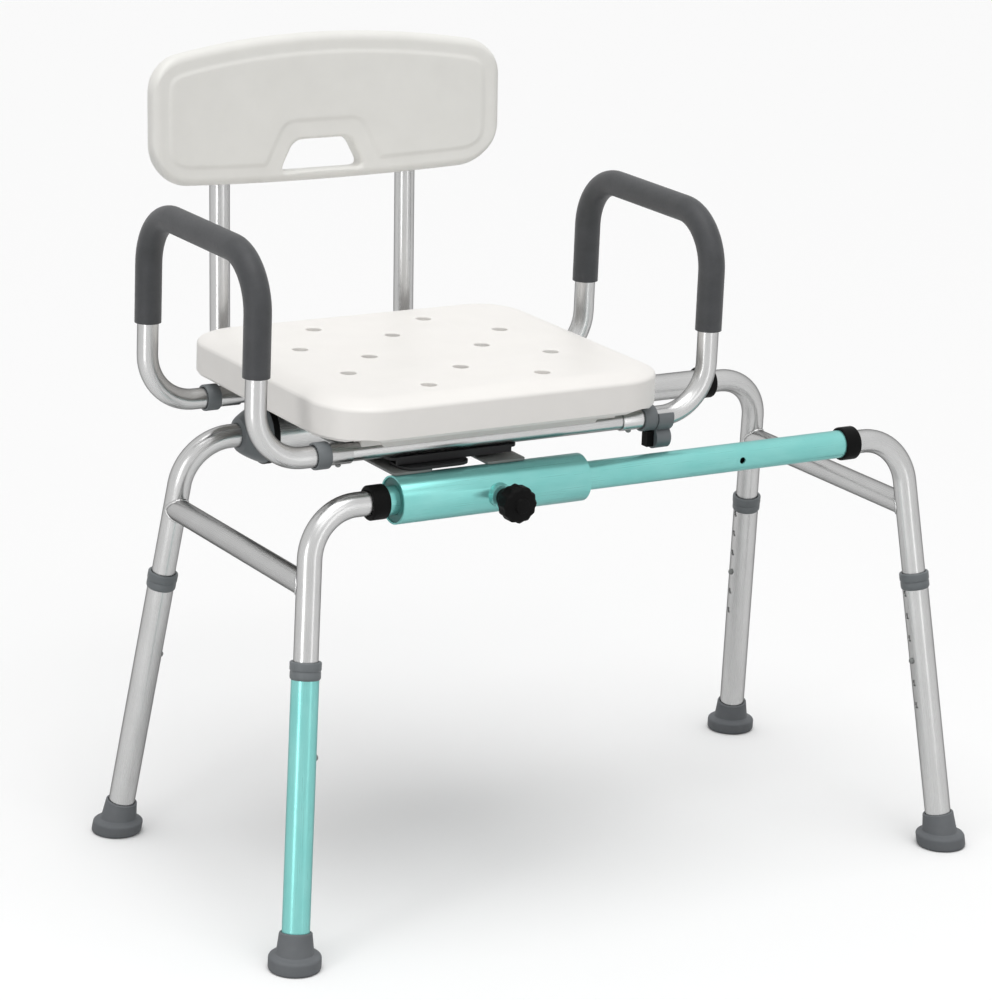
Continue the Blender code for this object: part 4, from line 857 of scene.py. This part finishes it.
def make_cross_plates(carriage):
    for tag, side in SIDES:
        bm = plate(CROSS_WIDE / 2, CROSS_HALF_Y, CROSS_THICK, CROSS_CORNER_R, CROSS_STEPS)
        place = (SWIVEL_DX + side * CROSS_DX, 0, CROSS_Z)
        # The plates' grey is darkened as painted shade for the shadow under the seat.
        made = piece(f"cross_plate_{tag}", bm, "plate_with_painted_shade", carriage, place)
        if side < 0:
            drill = rod(around(LEVER_R + FIT, SMALL_SIDES), -PAST, PAST, SMALL_SIDES)
            at = (SWIVEL_DX - CROSS_DX + LEVER_PIVOT_DX, LEVER_PIVOT_Y, CROSS_Z)
            carve(made, drill, carriage, at)


def make_swivel(carriage, seat):
    """The base plate and pivot stay with the carriage; the bearing and top plate turn with the seat."""
    base_at, top_at = (SWIVEL_DX, 0, BASE_Z), (0, 0, TOP_Z)
    base = plate(BASE_HALF, BASE_HALF, BASE_THICK, PLATE_ROUND)
    base = piece("swivel_base_plate", base, "steel", carriage, base_at)
    bearing = pipe(BEARING_R, BEARING_IN_R, 0, BEARING_THICK, SLEEVE_SIDES)
    piece("swivel_bearing", bearing, "black_metal", seat, (0, 0, BEARING_Z))
    half_y = BAR_Y + TOP_OVERHANG
    top = plate(TOP_HALF_X, half_y, TOP_THICK, PLATE_ROUND)
    top = piece("swivel_top_plate", top, "black_metal", seat, top_at)
    for side in (-1, 1):
        lip = box_mesh(2 * (TOP_HALF_X - PLATE_ROUND), TOP_THICK, TOP_LIP + TOP_THICK)
        at = (0, side * (half_y - TOP_THICK / 2), TOP_Z + (TOP_THICK - TOP_LIP) / 2)
        attach(top, lip, seat, at)
    for owner, parent, at in ((base, carriage, base_at), (top, seat, top_at)):
        drill = rod(around(PIVOT_R + FIT), -PAST, PAST)
        carve(owner, drill, parent, at)
    low, high = BASE_Z - GAP, TOP_Z + TOP_THICK + GAP
    pivot = [
        (HEAD_R, low - HEAD_TALL), (HEAD_R, low), (PIVOT_R, low),
        (PIVOT_R, high), (HEAD_R, high), (HEAD_R, high + HEAD_TALL),
    ]
    piece("swivel_pivot", turned(pivot), "steel", carriage, (SWIVEL_DX, 0, 0))


def make_lever(carriage):
    """The swivel brake: a paddle, a pin in the left cross plate and a nose at the bearing."""
    at = Vector((SWIVEL_DX - CROSS_DX + LEVER_PIVOT_DX, LEVER_PIVOT_Y, 0))
    hub = empty(at, carriage)
    pin = rod(LEVER_R, CROSS_Z - LEVER_THICK, LEVER_Z + LEVER_THICK / 2, SMALL_SIDES)
    lever = piece("swivel_lever", pin, "black_metal", hub)
    towards = Vector((SWIVEL_DX, 0, 0)) - at
    nose = towards.normalized() * (towards.length - BEARING_R - GAP)
    side = Vector((-nose.y, nose.x, 0)).normalized() * (LEVER_ARM_WIDE / 2)
    paddle_at = Vector((SWIVEL_DX + PADDLE_DX, PADDLE_Y, 0)) - at
    tail = paddle_at * LEVER_TAIL_SHARE
    tip, root = side * LEVER_NOSE_TAPER, side * LEVER_TAIL_TAPER
    outline = [nose - tip, nose + tip, side, tail + root, tail - root, -side]
    arm = loft([[p + Vector((0, 0, z)) for p in outline] for z in (LEVER_Z, LEVER_Z + LEVER_THICK)])
    attach(lever, arm, hub)
    paddle = plate(PADDLE_HALF_X, PADDLE_HALF_Y, LEVER_THICK, PADDLE_ROUND_R, PADDLE_STEPS)
    attach(lever, paddle, hub, (paddle_at.x, paddle_at.y, PADDLE_Z))


def make_clamp(carriage):
    """The knob and its screw, and the pad that the screw presses on the rail."""
    axis = empty((0, -RAIL_Y, RAIL_Z), carriage, FACING)
    near = RAIL_R + GAP
    piece("clamp_pad", rod(PAD_R, near, near + PAD_THICK, SCREW_SIDES), "bush_plastic", axis)
    start = near + PAD_THICK + GAP
    neck = SLEEVE_R + BOSS_LONG + KNOB_FACE_GAP
    face = SLEEVE_R + BOSS_LONG + KNOB_OFF
    root = face + KNOB_BACK_TALL
    screw = [(SCREW_R, start), (SCREW_R, neck), (KNOB_NECK_R, neck), (KNOB_NECK_R, root)]
    knob = piece("clamp_knob", turned(screw, SCREW_SIDES), "black_plastic", axis)
    front = face + KNOB_THICK
    profile = (
        (KNOB_BACK_EDGE, face), (0, face + KNOB_BACK_TALL),
        (0, face + (KNOB_THICK - KNOB_FRONT_TALL)), (KNOB_FRONT_EDGE, front),
    )
    angles = [2 * pi * i / (KNOB_LOBES * LOBE_STEPS) for i in range(KNOB_LOBES * LOBE_STEPS)]
    rings = []
    for shrink, z in profile:
        spokes = [(KNOB_R - LOBE_DEEP * (0.5 - 0.5 * cos(KNOB_LOBES * a)) - shrink, a) for a in angles]
        rings.append([Vector((radius * cos(a), radius * sin(a), z)) for radius, a in spokes])
    attach(knob, loft(rings), axis)
    hub = [(KNOB_HUB_R, front - KNOB_HUB_EDGE), (KNOB_HUB_R - KNOB_HUB_EDGE, front + KNOB_HUB_TALL)]
    attach(knob, turned(hub), axis)


def button_bore(target, seat, sx):
    """The hole for an armrest's button, through the lower wall of a tube."""
    drill = rod(around(ARM_BUTTON_R + FIT, BUTTON_SIDES), -PAST, 0, BUTTON_SIDES)
    carve(target, drill, seat, (SEAT_DX + sx * ARM_BUTTON_X, -BAR_Y, BAR_Z))


def make_seat_tubes(seat):
    """Two tubes along X; the front one takes the arm buttons, the rear one the stubs of the backrest."""
    front, rear = ((SEAT_DX, side * BAR_Y, BAR_Z) for side in (-1, 1))
    bm = pipe(BAR_R, BAR_BORE_R, -BAR_HALF, BAR_HALF)
    tube = piece("seat_tube_front", bm, "aluminium", seat, front, ALONG_X)
    for sx in (-1, 1):
        button_bore(tube, seat, sx)
    tube = piece("seat_tube_rear", rod(BAR_R, -BAR_HALF, BAR_HALF), "aluminium", seat, rear, ALONG_X)
    for sx in (-1, 1):
        stub = rod(STUB_R, 0, STUB_END_Y - BAR_Y)
        attach(tube, stub, seat, (SEAT_DX + sx * POST_X, BAR_Y, BAR_Z), BACKWARD)
    end = BAR_HALF + PAST
    carve(tube, rod(BAR_BORE_R, -end, end), seat, rear, ALONG_X)


def make_arm(seat, tag, sx):
    """A bent tube that slips over both seat tubes, its foam grip, and the two end collars."""
    x, y, place = sx * ARM_X, BAR_Y, (SEAT_DX, 0, 0)
    top = [(x, -y, ARM_TOP_Z), (x, y, ARM_TOP_Z)]
    end = sx * ARM_END_X
    corners = [(end, -y, BAR_Z), (x, -y, BAR_Z), *top, (x, y, BAR_Z), (end, y, BAR_Z)]
    radii = [ARM_LOW_R, ARM_TOP_R, ARM_TOP_R, ARM_LOW_R]
    bm = bent_pipe(corners, radii, ARM_R, around(BAR_R + FIT), Vector((0, 1, 0)))
    arm = piece(f"arm_tube_{tag}", bm, "aluminium", seat, place)
    button_bore(arm, seat, sx)
    bore = around(ARM_R + GAP)
    corners = [(x, -y, GRIP_LOW_Z), *top, (x, y, GRIP_LOW_Z)]
    grip = bent_pipe(corners, [ARM_TOP_R] * 2, GRIP_R, bore, Vector((1, 0, 0)))
    piece(f"arm_grip_{tag}", grip, "foam", seat, place)
    for end, sy in (("F", -1), ("R", 1)):
        collar = pipe(ARM_COLLAR_R, bore, 0, ARM_COLLAR_LONG)
        at = (SEAT_DX + sx * ARM_COLLAR_IN, sy * y, BAR_Z)
        piece(f"arm_collar_{end}{tag}", collar, "grey_plastic", seat, at, (0, sx * QUARTER, 0))


def make_arm_button(seat, tag, sx):
    """A sprung button under the front seat tube, through the tube and the arm."""
    axis = empty((SEAT_DX + sx * ARM_BUTTON_X, -BAR_Y, BAR_Z), seat)
    inner = FLANGE_BACK + GAP - BAR_BORE_R * cos(pi / ROUND)
    tip, wide = ARM_R + ARM_BUTTON_OUT, ARM_BUTTON_R + ARM_FLANGE
    button = [
        (ARM_BUTTON_R * DOME_SHARE, -tip), (ARM_BUTTON_R, -tip + BUTTON_DOME),
        (ARM_BUTTON_R, inner), (wide, inner), (wide, inner + ARM_FLANGE),
    ]
    piece(f"arm_button_{tag}", turned(button, BUTTON_SIDES), "steel", axis)


def make_clip(seat):
    """The swivel clip: an open ring on the right arm's foot, and below it an open hook and a finger block."""
    hook_z = -(BAR_Z - (RAIL_Z + RAIL_R + CLIP_RAIL_GAP) - HOOK_R)
    axis = empty((SEAT_DX + ARM_COLLAR_IN + ARM_COLLAR_LONG + GAP, -BAR_Y, BAR_Z), seat)
    body = piece("rail_clip", rod(CLIP_RING_R, 0, CLIP_WIDE), "grey_plastic", axis, CENTRE, ALONG_X)
    hook = rod(HOOK_R, HOOK_INSET, CLIP_WIDE - HOOK_INSET)
    attach(body, hook, axis, (0, 0, hook_z), ALONG_X)
    finger = box_mesh(FINGER_LONG + 2 * FINGER_ROOT, FINGER_WIDE, FINGER_TALL)
    step = attach(body, finger, axis, (-FINGER_LONG / 2, 0, hook_z + FINGER_RISE))
    step.object.data.materials.append(looks["black_plastic"])
    step.material_mode = "TRANSFER"
    for radius, begin, z in ((ARM_R + CLIP_PLAY, -PAST, 0), (HOOK_BORE_R, FINGER_ROOT, hook_z)):
        drill = rod(around(radius), begin, CLIP_WIDE + PAST)
        carve(body, drill, axis, (0, 0, z), ALONG_X)
    slit = box_mesh(CLIP_WIDE, CLIP_SLIT, HOOK_R)
    carve(body, slit, axis, (FINGER_ROOT + CLIP_WIDE / 2, 0, hook_z - HOOK_R / 2))
    mouth = box_mesh(CLIP_WIDE + 2 * PAST, 2 * CLIP_RING_R + PAST, CLIP_RING_R)
    carve(body, mouth, axis, (CLIP_WIDE / 2, 0, CLIP_OPEN_Z + CLIP_RING_R / 2))


def seat_outline(inset, z):
    """The seat's plan at a height: its corners are larger in front."""
    radii = (SEAT_FRONT_R, SEAT_REAR_R)
    middle = (SEAT_MID_X, SEAT_MID_Y)
    return round_outline(SEAT_HALF_X, SEAT_HALF_Y, radii, SEAT_CORNER_STEPS, inset, z, middle)


def seat_crown():
    """The seat's outside above its side, as insets and heights: a small edge and a low crown."""
    edge = [(SEAT_EDGE_R * near, SEAT_EDGE_R * up) for near, up in quarter_round(SEAT_EDGE_STEPS)]
    start, rise = edge[-1]
    pairs = [(inset, SEAT_TOP_Z - CROWN_TALL - rise + up) for inset, up in edge]
    for share in CROWN_STEPS:
        inset = start + (CROWN_IN - start) * share
        pairs.append((inset, SEAT_TOP_Z - CROWN_TALL * (1 - share) ** 2))
    return pairs


def make_seat_shell(seat):
    """A crowned top with drain holes, a skirt, and two saddles that lie on the seat tubes."""
    low, under = SEAT_TOP_Z - SEAT_SIDE_TALL, SEAT_TOP_Z - SEAT_SKIN
    inside = [(SEAT_WALL, under), (SEAT_WALL, low), (SEAT_LIP_IN, low), (0, low + SEAT_LIP_TALL)]
    rings = [seat_outline(inset, z) for inset, z in inside + seat_crown()]
    shell = piece("seat_shell", loft(rings), "seat_plastic", seat, (SEAT_DX, 0, 0))
    rest = BAR_Z + SADDLE_BED * BAR_R
    tall = under + SADDLE_SINK - rest
    for sy in (-1, 1):
        block = box_mesh(SADDLE_LONG, SADDLE_WIDE, tall)
        attach(shell, block, seat, (SEAT_DX, sy * BAR_Y, rest + tall / 2))
        bed = rod(BAR_R + GAP, -SEAT_HALF_X, SEAT_HALF_X)
        carve(shell, bed, seat, (SEAT_DX, sy * BAR_Y, BAR_Z), ALONG_X)
    for sx in (-1, 1):
        slot, at = rod(around(STUB_R + GAP), 0, SADDLE_WIDE), (SEAT_DX + sx * POST_X, BAR_Y, BAR_Z)
        carve(shell, slot, seat, at, BACKWARD)
    for x, y in drain_holes():
        drill = turned(drain_profile(under - PAST / 2, SEAT_TOP_Z))
        carve(shell, drill, seat, (SEAT_DX + x, HOLE_CENTRE_Y + y, 0))
    front = SEAT_MID_Y - SEAT_HALF_Y + ARCH_LONG - ARCH_START
    for sx in (-1, 1):
        at = (SEAT_DX + sx * ARCH_X, front, low + ARCH_TALL - ARCH_R)
        carve(shell, rod(ARCH_R, 0, ARCH_LONG), seat, at, FACING)


def drain_profile(low, top):
    """A drain hole's cutter: straight, then opening out to the seat's top in a soft rim."""
    turns = quarter_round()
    rim = [(SEAT_HOLE_R + DRAIN_RIM * near, top + DRAIN_RIM * (up - 1)) for near, up in turns]
    return [(SEAT_HOLE_R, low), *rim, (SEAT_HOLE_R + DRAIN_RIM, top + PAST)]


def drain_holes():
    places = [(sx * x, sy * y) for x, y in (HOLE_OUTER, HOLE_SIDE) for sx in (-1, 1) for sy in (-1, 1)]
    for side in (-1, 1):
        places += [(0, side * HOLE_MID_Y), (side * HOLE_MID_X, 0)]
    return places


def make_back_tube(seat, tag, sx):
    x, top_y = sx * POST_X, POST_CORNER_Y + (POST_TOP_Z - BAR_Z) * BACK_LEAN
    corners = [(x, POST_FRONT_Y, BAR_Z), (x, POST_CORNER_Y, BAR_Z), (x, top_y, POST_TOP_Z)]
    bm = bent_pipe(corners, [POST_BEND_R], POST_R, around(STUB_R + FIT), Vector((1, 0, 0)))
    piece(f"back_tube_{tag}", bm, "aluminium", seat, (SEAT_DX, 0, 0))


def panel_edge(x, arch, corner):
    """How far the panel reaches above or below its middle at a station, up to its rounded corner."""
    reach = PANEL_END_TALL + arch * (1 - (x / PANEL_HALF_X) ** 2)
    into = abs(x) - (PANEL_HALF_X - corner)
    if into > 0:
        reach -= corner - sqrt(max(0.0, corner ** 2 - into ** 2))
    return reach


def panel_reaches(x):
    """How far the panel reaches above and below its middle at a station."""
    high = panel_edge(x, PANEL_TOP_ARCH, PANEL_TOP_R)
    return high, panel_edge(x, PANEL_LOW_ARCH, PANEL_LOW_R)


def panel_stations():
    """Places along X: even over the middle, then closing round each corner."""
    flat = PANEL_HALF_X - PANEL_LOW_R
    inner = [flat * i / PANEL_SPANS for i in range(-PANEL_SPANS, PANEL_SPANS + 1)]
    outer = [flat + PANEL_LOW_R * sin(radians(a)) for a in PANEL_END_STEPS]
    return [-x for x in reversed(outer)] + inner + outer


def panel_bow(x):
    """How far the panel lies in front of its middle at a station."""
    return PANEL_SAG * (x / PANEL_HALF_X) ** 2


def panel_section(x):
    """The panel's cross-section at a station: a slab with round edges, thinner at the very ends."""
    into = max(0.0, abs(x) - (PANEL_HALF_X - PANEL_EDGE)) / PANEL_EDGE
    half = PANEL_THICK / 2 - PANEL_EDGE * (1 - sqrt(max(0.0, 1 - into ** 2)))
    high, low = panel_reaches(x)
    middle = panel_bow(POST_X) - PANEL_BEHIND - panel_bow(x)
    section = []
    for sy, sz, reach in ((-1, 1, high), (1, 1, high), (1, -1, low), (-1, -1, low)):
        for near, up in quarter_round(QUARTER_STEPS if sy != sz else QUARTER_STEPS[::-1]):
            y, z = half * (1 - PANEL_EDGE_SHARE * near), reach - PANEL_EDGE * (1 - up)
            section.append(Vector((x, middle + sy * y, sz * z)))
    foot, head = PANEL_EDGE - low, high - PANEL_EDGE
    for i in range(1, FIELD_STEPS):
        z = foot + (head - foot) * i / FIELD_STEPS
        section.append(Vector((x, middle - half - field_rise(x, z), z)))
    return section


def field_rise(x, z):
    """How far the front stands forward: a raised field inside a border and round the hand hole."""
    high, low = panel_reaches(x)
    gaps = (high - z, low + z, PANEL_HALF_X - abs(x))
    inside = sum(max(gap, GAP) ** -FIELD_BLEND for gap in gaps) ** (-1 / FIELD_BLEND)
    reach = min(inside - FIELD_BORDER, hand_hole_gap(x, z - HANDLE_Z) - FIELD_HOLE)
    share = min(1.0, max(0.0, reach / FIELD_EDGE + 0.5))
    return FIELD_RISE * share * share * (3 - 2 * share)


def hand_hole(flare=0.0):
    """The corners of the hand hole's trapezium, wide at the bottom."""
    high, low, half = (size / 2 + flare for size in (HANDLE_TOP_W, HANDLE_LOW_W, HANDLE_TALL))
    return [Vector(c) for c in ((low, -half), (high, half), (-high, half), (-low, -half))]


def hand_hole_gap(x, z):
    """How far a place on the front lies outside the hand hole's trapezium."""
    corners, spot = hand_hole(), Vector((x, z))
    gaps, outside = [], False
    for a, b in zip(corners, corners[1:] + corners[:1]):
        share = min(1.0, max(0.0, (spot - a).dot(b - a) / (b - a).length_squared))
        gaps.append((a.lerp(b, share) - spot).length)
        outside = outside or (b - a).cross(spot - a) < 0
    return min(gaps) if outside else -min(gaps)


def make_back_panel(seat):
    """The backrest: a bowed, arched panel with a hand hole, and two sockets for the tubes."""
    middle_y = POST_CORNER_Y + (PANEL_MID_Z - BAR_Z) * BACK_LEAN
    lean = -atan(BACK_LEAN)
    home = empty((SEAT_DX, middle_y, PANEL_MID_Z), seat, (lean, 0, 0))
    panel = piece("back_panel", loft([panel_section(x) for x in panel_stations()]), "back_plastic", home)
    low, high = -PANEL_END_TALL, (POST_TOP_Z - PANEL_MID_Z) / cos(lean)
    for sx in (-1, 1):
        boss = rod(PANEL_BOSS_R, low, high + PANEL_BOSS_CAP)
        attach(panel, boss, home, (sx * POST_X, 0, 0))
        drill = rod(around(POST_R + FIT), low - PAST, high + GAP)
        carve(panel, drill, home, (sx * POST_X, 0, 0))
    carve(panel, handle_cutter(), home, (0, panel_bow(POST_X) - PANEL_BEHIND, HANDLE_Z))


def handle_cutter():
    """A rounded trapezium through the bowed panel, which opens out softly at both faces."""
    turns = quarter_round()
    rear = [(PANEL_THICK / 2 - HANDLE_ROUND * (1 - up), HANDLE_ROUND * near) for near, up in turns]
    rear.append((PANEL_THICK, HANDLE_ROUND))
    stations = [(-y, flare) for y, flare in rear[::-1]] + rear
    rings = []
    for y, flare in stations:
        rings.append([Vector((p.x, y - panel_bow(p.x), p.y)) for p in rounded(hand_hole(flare))])
    return loft(rings)


def rounded(corners):
    """An outline in a plane, with each corner rounded off."""
    route = []
    for before, at, after in zip(corners[-1:] + corners[:-1], corners, corners[1:] + corners[:1]):
        a = at + (before - at).normalized() * HANDLE_CORNER_R
        b = at + (after - at).normalized() * HANDLE_CORNER_R
        for share in (i / HANDLE_STEPS for i in range(HANDLE_STEPS + 1)):
            route.append(a.lerp(at, share).lerp(at.lerp(b, share), share))
    return route


def soften(made):
    """Rounds a piece's sharp edges, where its kind has them rounded."""
    for kind, width in SOFT_EDGES:
        if made.name.startswith(kind):
            step = made.modifiers.new("soft_edges", "BEVEL")
            step.width = width
            step.segments = EDGE_STEPS
            step.limit_method = "ANGLE"
            step.angle_limit = radians(EDGE_ANGLE)


def settle():
    """Makes each piece's cuts, fixes it in the chair's place and lets it stand for its node."""
    record = frame["record"]
    bodies = record["behaviour"]["bodies"].items()
    homes = {member: body for body, members in bodies for member in members}
    bpy.context.view_layer.update()
    for name, made in made_pieces.items():
        soften(made)
        mesh = bpy.data.meshes.new_from_object(made.evaluated_get(bpy.context.evaluated_depsgraph_get()))
        mesh.transform(made.matrix_world)
        mesh.shade_smooth()
        mesh.set_sharp_from_angle(angle=radians(SHARP_ANGLE))
        fine = new_object(f"{name}_look", mesh)
        node = owners.get(name, name)
        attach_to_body(fine, homes[node])
        if name == node:
            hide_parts(name)
        rigs.append(made)
    for thing in rigs:
        bpy.data.objects.remove(thing, do_unlink=True)


def plain_rays(look):
    """One for a ray from the camera, or one mirrored or seen through glass, and zero for light itself."""
    rays = add_node(look, "LightPath")
    found = rays.outputs["Is Camera Ray"]
    for kind in ("Is Glossy Ray", "Is Transmission Ray"):
        values = {0: found, 1: rays.outputs[kind]}
        found = add_node(look, "Math", values, operation="MAXIMUM").outputs[0]
    return found


def make_floor():
    mesh = bpy.data.meshes.new("floor")
    corners = [(x * FLOOR_HALF, y * FLOOR_HALF, 0) for x, y in ((-1, -1), (1, -1), (1, 1), (-1, 1))]
    mesh.from_pydata(corners, [], [(0, 1, 2, 3)])
    values = {"Roughness": FLOOR_ROUGH, "Specular IOR Level": FLOOR_SHINE}
    look, shader = new_look("floor", FLOOR_SEEN, values)
    tint(look, shader, plain_rays(look), FLOOR_LIT, FLOOR_SEEN)
    mesh.materials.append(look)
    floor = new_object("floor", mesh)


def make_light():
    """A pale room, dimmer at the horizon than overhead and white to the camera, with a sun and soft boxes."""
    world = bpy.data.worlds.new("studio")
    bpy.context.scene.world = world
    world.use_nodes = True
    toward = add_node(world, "TexCoord").outputs["Generated"]
    height = add_node(world, "SeparateXYZ", {"Vector": toward}).outputs["Z"]
    rise = spread(world, height, ROOM_LOW, ROOM_HIGH, 0.0, ROOM_TOP)
    level = add_node(world, "Mix", {"Factor": plain_rays(world), "A": rise, "B": 1.0})
    values = {"Color": (1, 1, 1, 1), "Strength": level.outputs["Result"]}
    feed(world, world.node_tree.nodes["Background"], values)
    sun = bpy.data.lights.new("overhead", "SUN")
    sun.energy = OVERHEAD
    sun.angle = radians(OVERHEAD_WIDE)
    new_object("overhead", sun, None, CENTRE, [radians(a) for a in OVERHEAD_TILT])
    for name, place, aim, size, power in LAMPS:
        lamp = bpy.data.lights.new(name, "AREA")
        lamp.shape = "RECTANGLE"
        lamp.size, lamp.size_y = size
        lamp.energy = power
        turn = (Vector(aim) - Vector(place)).to_track_quat("-Z", "Y").to_euler()
        new_object(name, lamp, None, place, turn)


def make_camera():
    """The photograph's view."""
    turn, rise, lean = (radians(a) for a in CAMERA_ANGLES)
    ahead = Vector((-sin(turn) * cos(rise), cos(turn) * cos(rise), -sin(rise)))
    level = ahead.cross(Vector((0, 0, 1))).normalized()
    down = ahead.cross(level)
    right = level * cos(lean) + down * sin(lean)
    below = down * cos(lean) - level * sin(lean)
    camera = bpy.data.cameras.new("camera")
    camera.lens = CAMERA_LENS
    camera.sensor_width = CAMERA_SENSOR
    camera.clip_end = CAMERA_REACH
    made = new_object("camera", camera)
    rows = [[right[i], -below[i], -ahead[i], CAMERA_AT[i]] for i in range(3)]
    made.matrix_world = Matrix([*rows, [0, 0, 0, 1]])
    bpy.context.scene.camera = made


def main():
    make_looks()
    root = empty((0, MID_Y, 0))
    make_rails(root)
    make_rail_collars(root)
    for tag, sx, sy in CORNERS:
        for make in (make_upper_leg, make_lower_leg, make_foot, make_leg_button):
            make(root, tag, sx, sy)
    for tag, sx in SIDES:
        make_crossbar(root, tag, sx)

    carriage = empty((CARRIAGE_X, 0, 0), root)
    make_sleeve(carriage, "front", -1, "teal_aluminium", "bush_plastic")
    make_sleeve(carriage, "rear", 1, "aluminium", "grey_plastic")
    make_cross_plates(carriage)
    seat = empty((SWIVEL_DX, 0, 0), carriage)
    make_swivel(carriage, seat)
    make_lever(carriage)
    make_clamp(carriage)
    make_seat_tubes(seat)
    for tag, sx in SIDES:
        for make in (make_arm, make_arm_button, make_back_tube):
            make(seat, tag, sx)
    make_clip(seat)
    make_seat_shell(seat)
    make_back_panel(seat)
    settle()
    make_floor()
    make_light()
    make_camera()
    bpy.context.scene.view_settings.view_transform = "Standard"


main()
